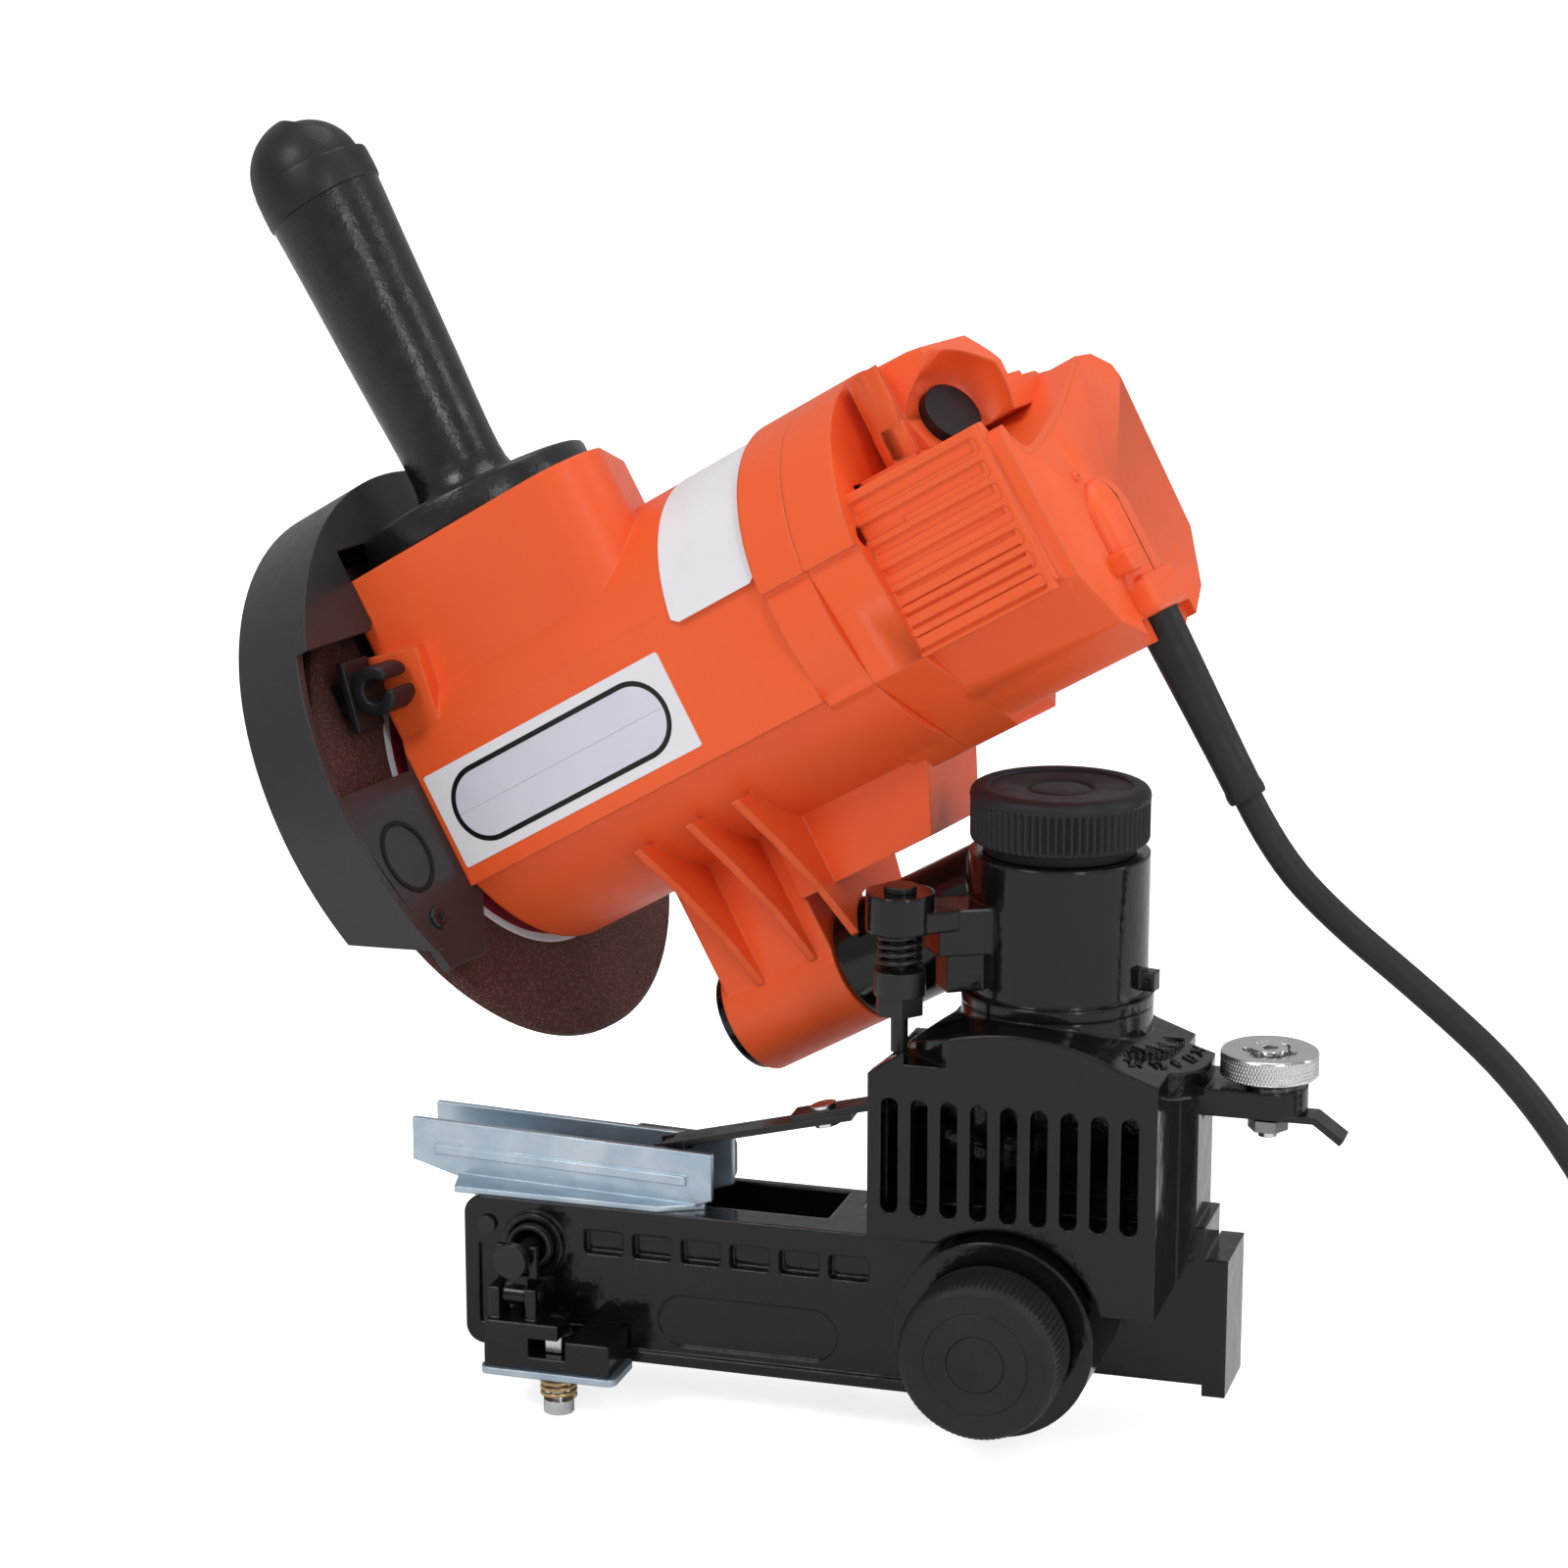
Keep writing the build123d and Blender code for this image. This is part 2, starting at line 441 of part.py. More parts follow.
with BuildPart() as pawl_pin:
    cylinder(facing(LINK, pawl_s, 5.6, pawl_z), 1.2, 11.2)
    for side in (4.25, -5.65):
        cylinder(facing(LINK, pawl_s, side + 1.4, pawl_z), 2.1, 1.4)
save(pawl_pin, "pawl_pin")

lug_top = lug_low + lug_thick
with BuildPart() as stop_knob:
    cylinder(level(BASE, lug_x, lug_y, lug_top + fit), 6, 1.8)
    cylinder(level(BASE, lug_x, lug_y, lug_top + 1.8), stop_knob_radius, stop_knob_high)
    cylinder(level(BASE, lug_x, lug_y, lug_top + 5.8), 7.5, 5, mode=Mode.SUBTRACT)
    cylinder(level(BASE, lug_x, lug_y, lug_top), stop_screw_radius, 10, mode=Mode.SUBTRACT)
save(stop_knob, "stop_knob")

with BuildPart() as stop_screw:
    cylinder(level(BASE, lug_x, lug_y, lug_top + 5.8), 4.5, 3.4)
    cylinder(level(BASE, lug_x, lug_y, 50), stop_screw_radius, lug_top + 5.8 - 50)
    hexagon(level(BASE, lug_x, lug_y, lug_top + 6.8), 4, 5, mode=Mode.SUBTRACT)
save(stop_screw, "stop_screw")

with BuildPart() as stop_nut:
    hexagon(level(BASE, lug_x, lug_y, 51.8), 9, strip_top - strip_thick - 52, bore=stop_screw_radius + fit)
save(stop_nut, "stop_nut")

# ---------------------------------------------------------------- column
arm_length = (pin_x ** 2 + pin_y ** 2) ** 0.5
arm_dir = (pin_x / arm_length, pin_y / arm_length)


def along_arm(reach, side):
    """Point in the column's plan, at a distance out towards the index pin and to one side."""
    return (arm_dir[0] * reach - arm_dir[1] * side, arm_dir[1] * reach + arm_dir[0] * side)


with BuildPart() as column:
    cylinder(level(COLUMN, z=seat_height + fit), 24.6, 3.2)
    cylinder(level(COLUMN, z=seat_height + fit), column_radius, column_top - seat_height - fit)
    block(level(COLUMN, z=88), (column_radius - 3, -2), (column_radius + 4, 2), 5)
    # hinge bracket and its web, then the arm of the index pin
    cylinder(across(HINGE, bracket_start + gap), barrel_radius, 43.5)
    block(level(COLUMN, z=90), (-32, -3), (-6, 22), 16)
    arm_plan = [along_arm(15, 9), along_arm(arm_length - 8.5, 5.5), along_arm(arm_length - 8.5, -5.5), along_arm(15, -9)]
    prism(level(COLUMN, z=pin_arm_low), arm_plan, pin_arm_high - pin_arm_low)
    head_plan = [along_arm(30, 6.5), along_arm(arm_length, 8), along_arm(arm_length, -8), along_arm(30, -6.5)]
    prism(level(COLUMN, z=pin_boss_low), head_plan, pin_arm_high - pin_boss_low)
    gusset_plan = [along_arm(15, 5), along_arm(32, 4), along_arm(32, -4), along_arm(15, -5)]
    prism(level(COLUMN, z=88), gusset_plan, 13)
    cylinder(level(COLUMN, pin_x, pin_y, pin_boss_low), pin_boss_radius, pin_boss_high - pin_boss_low)
    cylinder(level(COLUMN, z=80), stud_radius + fit, 50, mode=Mode.SUBTRACT)
    cylinder(level(COLUMN, pin_x, pin_y, 90), pin_radius + fit, 30, mode=Mode.SUBTRACT)
    cylinder(across(HINGE, bracket_start - 1), hinge_pin_radius, 44, mode=Mode.SUBTRACT)
save(column, "column")

with BuildPart() as column_knob:
    cylinder(level(COLUMN, z=column_top + fit), 19.5, 4, bore=9)
    moulded_knob(level(COLUMN, z=column_knob_neck), column_knob_radius, column_knob_top - column_knob_neck)
    cylinder(level(COLUMN, z=column_top + fit), 9, 11.5, mode=Mode.SUBTRACT)
save(column_knob, "column_knob")

with BuildPart() as column_knob_insert:
    cylinder(level(COLUMN, z=column_top + fit), 9, 11.5, bore=stud_radius + fit)
save(column_knob_insert, "column_knob_insert")

with BuildPart() as index_pin:
    cylinder(level(COLUMN, pin_x, pin_y, pin_tip), pin_radius, pin_head - pin_tip)
    hexagon(level(COLUMN, pin_x, pin_y, pin_collar_low), 2 * pin_collar_radius * 0.85, 6)
    cylinder(level(COLUMN, pin_x, pin_y, pin_collar_low + 5), pin_collar_radius, pin_collar_high - pin_collar_low - 5)
    cylinder(level(COLUMN, pin_x, pin_y, pin_boss_high + fit), 4.2, pin_head - pin_boss_high - fit)
save(index_pin, "index_pin")

with BuildPart() as index_spring:
    spring(level(COLUMN, pin_x, pin_y, pin_collar_high + fit), 5, 0.75, pin_boss_low - pin_collar_high - 2 * fit, 4)
save(index_spring, "index_spring")

with BuildPart() as hinge_pin:
    cylinder(across(HINGE, barrel_start + 1), hinge_pin_radius, 80)
save(hinge_pin, "hinge_pin")

with BuildPart() as return_spring:
    spring(across(HINGE, 60.5), 9, 1.2, 21, 6)
save(return_spring, "return_spring")

# ---------------------------------------------------------------- motor head
flange_outline = [(-47, 12), (-47, 6), (-42, -24), (-12, -49), (12, -49), (42, -24), (47, 6), (47, 12)]
screw_places = [(-42, 9.4), (-36, -20.3), (42, 9.4), (36, -20.3)]


def flange(start, length):
    """Band of the split flange: round above, faceted below."""
    prism(across(HEAD, start), flange_outline, length)
    with BuildSketch(across(HEAD, start)) as crown:
        Circle(flange_radius)
        with Locations((0, -flange_radius)):
            Rectangle(120, 2 * flange_radius + 16, mode=Mode.SUBTRACT)
    extrude(crown.sketch, amount=length)


def tower(inset, height, mode=Mode.ADD):
    """Handle tower, with a slanted back wall; inset is the wall left round the hollow."""
    half, lean = tower_half - inset, 1.45 * inset
    plan = [(body_front + inset, half), (body_front + inset, -half), (tower_near_end - lean, -half), (tower_far_end - lean, half)]
    with BuildSketch(level(HEAD)) as outline:
        with BuildLine():
            FilletPolyline(*plan, radius=[2, 2, tower_corner - inset, tower_corner - inset], close=True)
        make_face()
    extrude(outline.sketch, amount=height, mode=mode)


with BuildPart() as motor_housing:
    cylinder(across(HEAD, body_front), body_radius, body_seam - body_front)
    flange(128, body_seam - 128)
    block(facing(HEAD, y=-25), (body_front, pad_low), (body_seam - 14, pad_high), -25 - pad_face)
    # handle tower
    tower(0, tower_high)
    # hinge barrel, its web and ribs, and the box behind it
    cylinder(across(HINGE, barrel_start), barrel_radius, barrel_end - barrel_start)
    block(facing(HEAD, y=14), (barrel_start + 2, -80), (barrel_end, -42), 28)
    prism(facing(HEAD, y=15), [(barrel_end - 1, -64.5), (123, -64.5), (131.4, -48), (131.4, -40), (barrel_end - 1, -40)], 30)
    for station in rib_stations:
        for side in (-1, 1):
            web = [(side * 41, -34), (side * 31, -48), (side * 21, -65), (side * 15, -80), (0, -80), (0, -34)]
            prism(across(HEAD, station - rib_thick / 2), web, rib_thick)
    # gusset beside the guard clip
    prism(facing(HEAD, y=-36), [(22, 19), (26, 40), (body_front, 44), (body_front, 20)], 7)
    # flat of the near side, hollow, bearing seat and bores
    block(facing(HEAD, y=pad_face), (0, pad_low), (body_seam - 14, 16.5), 20, mode=Mode.SUBTRACT)
    cylinder(across(HEAD, body_front + front_wall), body_inner, 140, mode=Mode.SUBTRACT)
    tower(tower_wall, tower_high - tower_wall, Mode.SUBTRACT)
    cylinder(across(HEAD, body_front), bearing_radius + 3, front_bearing_s + bearing_width - body_front)
    cylinder(across(HEAD, front_bearing_s), bearing_radius, 20, mode=Mode.SUBTRACT)
    cylinder(across(HEAD), 7.5, 30, mode=Mode.SUBTRACT)
    cylinder(level(HEAD, handle_s, 0, 40), 5 + fit, 30, mode=Mode.SUBTRACT)
    cylinder(across(HINGE, 40), hinge_pin_radius + fit, 60, mode=Mode.SUBTRACT)
    cylinder(across(HINGE, 60), 12, 30, mode=Mode.SUBTRACT)
    cylinder(across(HINGE, barrel_end), barrel_radius + 1.5, 60, mode=Mode.SUBTRACT)
    for place in screw_places:
        cylinder(across(HEAD, 132, *place), 1.8, 12, mode=Mode.SUBTRACT)
save(motor_housing, "motor_housing")

drum_outline = [(-34, 22), (-41, 14), (-38, -23), (-27, -38), (-12, -46), (12, -46), (27, -38), (38, -23), (41, 20), (38, 26), (30, 31), (-30, 31)]
drum_inner = [(-35, 22), (-35, -20), (-24, -35), (-11, -42), (11, -42), (24, -35), (35, -20), (35, 22)]
with BuildPart() as rear_cover:
    flange(body_seam + fit, flange_length)
    prism(across(HEAD, body_seam + flange_length - 1), drum_outline, cover_end - body_seam - flange_length + 1)
    cylinder(across(HEAD, body_seam + fit), body_inner - 1, flange_length - 3, mode=Mode.SUBTRACT)
    prism(across(HEAD, body_seam + 8), drum_inner, cover_end - body_seam - 11, mode=Mode.SUBTRACT)
    # switch housing: a round collar, sloped down to the back, with the slanted pocket of the button
    cylinder(level(HEAD, switch_s, switch_y, 22.5), collar_radius, 23.5)
    prism(facing(HEAD, y=20), [(140, 60), (170, 47.5), (184, 45.5), (199, 28), (230, 28), (230, 70), (140, 70)], 70, mode=Mode.SUBTRACT)
    cylinder(SWITCH, well_radius, 40, mode=Mode.SUBTRACT)
    cylinder(SWITCH.offset(-6), button_radius + 0.1, 8, mode=Mode.SUBTRACT)
    block(SWITCH.offset(-20), (-8, -9), (8, 9), 14.1, mode=Mode.SUBTRACT)
    # side panels with the air grooves, which are open slots on the far side
    for panel, groove in ((facing(HEAD, y=-36), 6 - vent_deep), (Plane(HEAD.from_local_coords((0, 36, 0)), x_dir=HEAD.x_dir, z_dir=HEAD.y_dir), -3)):
        block(panel, (vent_start - 1, -22.0), (cover_end - 4, 20.5), 6)
        with BuildSketch(panel.offset(groove)) as grooves:
            for i in range(vent_count):
                with Locations(((vent_start + vent_end) / 2, -0.75 + (i - (vent_count - 1) / 2) * vent_pitch)):
                    Rectangle(vent_end - vent_start, vent_pitch * 0.55)
        extrude(grooves.sketch, amount=12, mode=Mode.SUBTRACT)
    # cord duct on the end face and the rear bearing seat
    block(across(HEAD, cover_end - 1), (-8, -46), (8, -3), 5.5, rounding=7)
    block(facing(HEAD, y=9), (191, -48), (cover_end + 4, -36), 18)
    cylinder(across(HEAD, rear_bearing_s), bearing_radius + 3, cover_end - rear_bearing_s - 1)
    cylinder(across(HEAD, rear_bearing_s - 1), bearing_radius, bearing_width + 1, mode=Mode.SUBTRACT)
    cylinder(level(HEAD, sleeve_s, 0, -60), sleeve_radius + 0.3, 60 + sleeve_top, mode=Mode.SUBTRACT)
    for place in screw_places:
        cylinder(across(HEAD, body_seam, *place), 1.8, 20, mode=Mode.SUBTRACT)
        cylinder(across(HEAD, 150, *place), 3.2, 20, mode=Mode.SUBTRACT)
save(rear_cover, "rear_cover")

with BuildPart() as cover_screws:
    for place in screw_places:
        cylinder(across(HEAD, 132, *place), 1.8, 18)
        cylinder(across(HEAD, 150, *place), 3.1, 2.4)
save(cover_screws, "cover_screws")

with BuildPart() as barrel_cap:
    cylinder(across(HINGE, barrel_start - 3), 14.5, 3)
save(barrel_cap, "barrel_cap")

# handle with its snap-in end cap and its bolt
stem_end = handle_high - handle_top_radius
with BuildPart() as handle:
    with BuildSketch(facing(HEAD, x=handle_s)) as handle_half:
        with BuildLine():
            disc = Polyline((0, tower_high), (handle_disc_radius, tower_high), (handle_disc_radius, tower_high + 5),
                            (handle_disc_radius - 2, tower_high + handle_disc_thick), (20, tower_high + handle_disc_thick + 1.5))
            root = ThreePointArc(disc @ 1, (15, tower_high + handle_disc_thick + 5), (handle_neck_radius, tower_high + 18))
            Polyline(root @ 1, (handle_top_radius, stem_end), (0, stem_end), disc @ 0)
        make_face()
    revolve(handle_half.sketch, axis=Axis(HEAD.from_local_coords((handle_s, 0, 0)), HEAD.z_dir))
    cylinder(level(HEAD, handle_s, 0, tower_high), 5 + fit, 46, mode=Mode.SUBTRACT)
save(handle, "handle")

with BuildPart() as handle_cap:
    with Locations(level(HEAD, handle_s, 0, stem_end).location):
        Sphere(handle_top_radius - 0.2, arc_size1=0, arc_size2=90, align=None)
save(handle_cap, "handle_cap")

with BuildPart() as handle_bolt:
    hexagon(level(HEAD, handle_s, 0, tower_high - tower_wall - 7), 17, 7)
    cylinder(level(HEAD, handle_s, 0, tower_high - tower_wall - 7), 5, 55)
save(handle_bolt, "handle_bolt")

# wheel guard: open below, cut level on the near side
with BuildPart() as guard:
    cylinder(across(HEAD, guard_outer, 0, guard_lift), guard_radius, guard_inner - guard_outer)
    cylinder(across(HEAD, guard_outer + guard_wall, 0, guard_lift), guard_radius - guard_wall, 40, mode=Mode.SUBTRACT)
    cylinder(across(HEAD, guard_inner - guard_wall, 0, guard_lift), guard_radius, guard_wall)
    keep_out = [(-45, -100), (-45, 46), (-tower_half - 0.4, 52), (-tower_half - 0.4, tower_high + 9), (tower_half + 0.4, tower_high + 9), (tower_half + 0.4, 52), (60, 30), (60, -100)]
    prism(across(HEAD, guard_inner - guard_wall - 1), keep_out, 10, mode=Mode.SUBTRACT)
    prism(across(HEAD, guard_inner - guard_wall - 1), [(-90, -100), (-40, -100), (-40, 50), (-90, 50)], 10, mode=Mode.SUBTRACT)
    prism(facing(HEAD, y=100), [(-20, -16.8), (30, -45.7), (30, -120), (-20, -120)], 200, mode=Mode.SUBTRACT)
    # near-side bracket plate and the two screw tabs on the housing's front
    prism(across(HEAD, body_front - 2.5), [(-82.5, 12), (-38, 12), (-38, -22), (-52, -40), (-69.5, -40)], 2.4)
save(guard, "guard")

with BuildPart() as guard_screws:
    for place in ((-56, -34), (-40, -14)):
        cylinder(across(HEAD, body_front - 3.7, *place), 3, 1.2)
save(guard_screws, "guard_screws")

# spring clip of the guard: a split ring on a stem beside the gusset
clip_y, clip_z = -49.5, 31.0
with BuildPart() as guard_clip:
    block(across(HEAD, body_front - 6, clip_y, clip_z), (-4.5, -9), (4.5, 9), 2)
    cylinder(across(HEAD, body_front - 4, clip_y, clip_z), 6, 13, bore=3)
    block(across(HEAD, body_front - 4.5, clip_y, clip_z), (-8, -1.8), (0, 1.8), 20, mode=Mode.SUBTRACT)
save(guard_clip, "guard_clip")

# switch
with BuildPart() as switch_button:
    cylinder(SWITCH.offset(-3.4), button_radius, button_high)
save(switch_button, "switch_button")

with BuildPart() as switch_body:
    block(SWITCH.offset(-18), (-7, -8), (7, 8), 11.9)
save(switch_body, "switch_body")

# motor
with BuildPart() as stator:
    cylinder(across(HEAD, core_start), body_inner, core_end - core_start, bore=stator_bore)
    cylinder(across(HEAD, core_start - 9), body_inner - 4, core_end - core_start + 18, bore=stator_bore + 2)
save(stator, "stator")

with BuildPart() as armature:
    cylinder(across(HEAD, core_start), core_radius, core_end - core_start, bore=spindle_radius)
    cylinder(across(HEAD, core_start - 8), 18, core_end - core_start + 16, bore=spindle_radius)
    with BuildSketch(across(HEAD, core_start)) as slots:
        with PolarLocations(core_radius, 12):
            Rectangle(5, 2)
    extrude(slots.sketch, amount=core_end - core_start, mode=Mode.SUBTRACT)
    cylinder(across(HEAD, 146), 12, 18, bore=spindle_radius)
save(armature, "armature")

with BuildPart() as fan:
    cylinder(across(HEAD, 118), 8, 12, bore=spindle_radius)
    cylinder(across(HEAD, 118), 36, 1.6, bore=spindle_radius)
    with BuildSketch(across(HEAD, 119.6)) as blades:
        with PolarLocations(23, 9):
            Rectangle(24, 1.6, rotation=25)
    extrude(blades.sketch, amount=9)
save(fan, "fan")

with BuildPart() as brush_holders:
    for side in (-1, 1):
        block(across(HEAD, 149), (min(side * 12.4, side * 33), -4.5), (max(side * 12.4, side * 33), 4.5), 11)
save(brush_holders, "brush_holders")

with BuildPart() as bearings:
    for station in (front_bearing_s, rear_bearing_s):
        cylinder(across(HEAD, station), bearing_radius, bearing_width, bore=spindle_radius + fit)
save(bearings, "bearings")

wheel_half = wheel_thick / 2
with BuildPart() as spindle:
    cylinder(across(HEAD, -wheel_half - 4.9), spindle_radius, rear_bearing_s + bearing_width + wheel_half + 4.9)
    cylinder(across(HEAD, 8.2), 7, 5.7)
save(spindle, "spindle")

with BuildPart() as grinding_wheel:
    cylinder(across(HEAD, -wheel_half), wheel_radius, wheel_thick, bore=spigot_radius)
    chamfer(grinding_wheel.edges().filter_by(GeomType.CIRCLE).group_by(SortBy.RADIUS)[-1], 1.2)
save(grinding_wheel, "grinding_wheel")

with BuildPart() as wheel_flanges:
    cylinder(across(HEAD, -wheel_half), spigot_radius, wheel_thick, bore=spindle_radius)
    cylinder(across(HEAD, wheel_half), 22, 3, bore=spindle_radius)
    cylinder(across(HEAD, wheel_half), 10, 5.9, bore=spindle_radius)
    cylinder(across(HEAD, -wheel_half - 2), 22, 2, bore=spindle_radius)
save(wheel_flanges, "wheel_flanges")

with BuildPart() as wheel_nut:
    hexagon(across(HEAD, -wheel_half - 4.9), 17, 2.9, bore=spindle_radius)
save(wheel_nut, "wheel_nut")

# ---------------------------------------------------------------- cord
with BuildPart() as cord_sleeve:
    with BuildSketch(facing(HEAD, sleeve_s)) as sleeve_half:
        with BuildLine():
            Polyline((0, sleeve_top), (sleeve_radius, sleeve_top), (sleeve_radius - 0.5, sleeve_end), (0, sleeve_end), close=True)
        make_face()
    revolve(sleeve_half.sketch, axis=Axis(HEAD.from_local_coords((sleeve_s, 0, 0)), HEAD.z_dir))
save(cord_sleeve, "cord_sleeve")

lay_z = floor_z + cord_radius
turn_pitch = 2 * cord_radius
outer_turn = coil_mean + (coil_turns_wide - 1) / 2 * turn_pitch
entry_y = coil_y - outer_turn
cord_points = [
    tuple(HEAD.from_local_coords((sleeve_s, 0, sleeve_end))),
    tuple(HEAD.from_local_coords((sleeve_s, 0, sleeve_end - 16))),
    (23, -2.6, 108.5), (46, -3.0, 91.2), (69.5, -3.5, 71.5), (89, -5, 46), (103, -7, 21),
    (111, -8.3, -0.5), (136, entry_y, lay_z), (172, entry_y, lay_z),
]
cord_points = [(round(x, 2), round(y, 2), round(z, 2)) for x, y, z in cord_points]


def corner_radii(points):
    """Largest arc that two neighbouring runs share: 0.45 of the shorter run over tan(half turn)."""
    radii = []
    for before, here, after in zip(points, points[1:], points[2:]):
        arriving, leaving = Vector(here) - Vector(before), Vector(after) - Vector(here)
        half_turn = radians(arriving.get_angle(leaving)) / 2
        radii.append(0.45 * min(arriving.length, leaving.length) / tan(half_turn))
    return radii


bends = corner_radii(cord_points)
with BuildPart() as cord:
    with BuildLine() as route:
        FilletPolyline(*cord_points, radius=bends)
    with BuildSketch(Plane(route.line @ 0, z_dir=route.line % 0)) as section:
        Circle(cord_radius)
    sweep(section.sketch, path=route.line)
save(cord, "cord")
print("cord bend radii", [round(bend, 1) for bend in bends])
print("cord volume", round(cord.part.volume), "section x length", round(3.14159 * cord_radius ** 2 * route.wire().length))

coil_outer = outer_turn + cord_radius
coil_inner = outer_turn - (coil_turns_wide - 1) * turn_pitch - cord_radius
exit_z = lay_z + turn_pitch / 2
with BuildPart() as cord_coil:
    cylinder(level(BASE, coil_x, coil_y, floor_z), coil_outer, coil_turns_high * turn_pitch, bore=coil_inner)
    cylinder(across(BASE, cord_points[-1][0], entry_y, lay_z), cord_radius - 0.15, coil_x - cord_points[-1][0])
    cylinder(Plane((coil_x + outer_turn, coil_y, exit_z), z_dir=(0, 1, 0)), cord_radius - 0.15, 60)
save(cord_coil, "cord_coil")

# plug: grip, two-pin body and pins, in line with the cord's end
plug_frame = Plane((coil_x + outer_turn, coil_y + 60, exit_z), x_dir=(1, 0, 0), z_dir=(0, 1, 0))
with BuildPart() as plug:
    cylinder(plug_frame, 5.2, 14)
    block(plug_frame.offset(12), (-17.5, -7.4), (17.5, 7.4), 34, rounding=6)
    for side in (-1, 1):
        cylinder(Plane(plug_frame.offset(46).from_local_coords((side * 9.5, 0, 0)), z_dir=plug_frame.z_dir), 2.4, 19)
save(plug, "plug")
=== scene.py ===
import bmesh
import bpy
import numpy as np
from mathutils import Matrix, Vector


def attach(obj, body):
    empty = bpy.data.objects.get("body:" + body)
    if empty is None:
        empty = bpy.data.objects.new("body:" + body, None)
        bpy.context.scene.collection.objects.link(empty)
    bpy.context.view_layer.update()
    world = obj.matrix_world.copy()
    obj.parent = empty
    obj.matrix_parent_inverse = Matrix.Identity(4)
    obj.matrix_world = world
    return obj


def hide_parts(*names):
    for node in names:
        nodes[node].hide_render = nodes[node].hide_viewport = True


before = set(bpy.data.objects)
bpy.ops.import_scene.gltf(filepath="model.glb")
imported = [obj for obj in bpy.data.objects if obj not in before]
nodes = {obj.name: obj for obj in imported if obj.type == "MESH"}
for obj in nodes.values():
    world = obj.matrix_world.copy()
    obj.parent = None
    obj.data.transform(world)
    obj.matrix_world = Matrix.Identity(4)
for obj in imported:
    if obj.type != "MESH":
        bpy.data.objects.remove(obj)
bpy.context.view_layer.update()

mm = 0.001


# frame of a turned group: x turned by yaw about Z, then raised by pitch; columns are x, y, z, origin
def turned(origin, yaw, pitch=0.0):
    a, b = np.radians(yaw), np.radians(pitch)
    x = np.array([np.cos(a) * np.cos(b), np.sin(a) * np.cos(b), np.sin(b)])
    z = np.array([-np.cos(a) * np.sin(b), -np.sin(a) * np.sin(b), np.cos(b)])
    return np.column_stack([x, np.cross(z, x), z, np.array(origin, float)])


# points of a frame in world millimetres: origin + x*a + y*b + z*c
def inWorld(place, points):
    return np.asarray(points, float) @ place[:, :3].T + place[:, 3]


# frame with its origin moved inside itself, and its axes taken in a new order
def shifted(place, at=(0, 0, 0), order=(0, 1, 2)):
    return np.column_stack([place[:, order[0]], place[:, order[1]], place[:, order[2]],
                            inWorld(place, at)])


world = turned((0, 0, 0), 0)
column = turned((-47.0, -4.5, 0), -10)
head = turned(inWorld(column, (-173, 11.6, 116.3)), -10, 30)
hub = shifted(world, (-53.5, 0, 3.5), (2, 0, 1))

# ---- shader groups
def newGroup(name, inputs, outputs):
    tree = bpy.data.node_groups.new(name, "ShaderNodeTree")
    for label, kind, value in inputs:
        socket = tree.interface.new_socket(label, in_out="INPUT", socket_type="NodeSocket" + kind)
        socket.default_value = value
    for label, kind in outputs:
        tree.interface.new_socket(label, in_out="OUTPUT", socket_type="NodeSocket" + kind)
    return tree, tree.nodes.new("NodeGroupInput").outputs, tree.nodes.new("NodeGroupOutput").inputs


# one node with its inputs filled: a socket is linked, anything else is its value
def put(tree, kind, sockets=(), **settings):
    made = tree.nodes.new("ShaderNode" + kind)
    for key, value in settings.items():
        setattr(made, key, value)
    for key, value in dict(sockets).items():
        if isinstance(value, bpy.types.NodeSocket):
            tree.links.new(value, made.inputs[key])
        else:
            made.inputs[key].default_value = value
    return made


def noise(tree, vector, scale, detail=3.0, rough=0.55, **more):
    return put(tree, "TexNoise", {"Vector": vector, "Scale": scale, "Detail": detail, "Roughness": rough},
               **more)


def spread(tree, value, low, high, toLow, toHigh):
    return put(tree, "MapRange",
               {"Value": value, "From Min": low, "From Max": high, "To Min": toLow,
                "To Max": toHigh}).outputs[0]


def blendColour(tree, factor, first, second, kind="MIX"):
    made = put(tree, "Mix", (), data_type="RGBA", blend_type=kind)
    for key, value in ((0, factor), (6, first), (7, second)):
        if isinstance(value, bpy.types.NodeSocket):
            tree.links.new(value, made.inputs[key])
        else:
            made.inputs[key].default_value = value
    return made.outputs[2]


# rounded edges: the normal softened within a radius, and a mask that is 1 where it turns away from
# the face
def makeEdgeGroup():
    tree, given, out = newGroup("softEdges", [("Radius", "Float", 0.0006), ("Gain", "Float", 6.0)],
        [("Normal", "Vector"), ("Edge", "Float")])
    soft = put(tree, "Bevel", {"Radius": given["Radius"]}, samples=6)
    face = put(tree, "NewGeometry")
    dot = put(tree, "VectorMath", {0: soft.outputs[0], 1: face.outputs["Normal"]},
              operation="DOT_PRODUCT")
    turn = put(tree, "Math", {0: 1.0, 1: dot.outputs["Value"]}, operation="SUBTRACT")
    edge = put(tree, "Math", {0: turn.outputs[0], 1: given["Gain"]}, operation="MULTIPLY", use_clamp=True)
    tree.links.new(soft.outputs[0], out["Normal"])
    tree.links.new(edge.outputs[0], out["Edge"])
    return tree


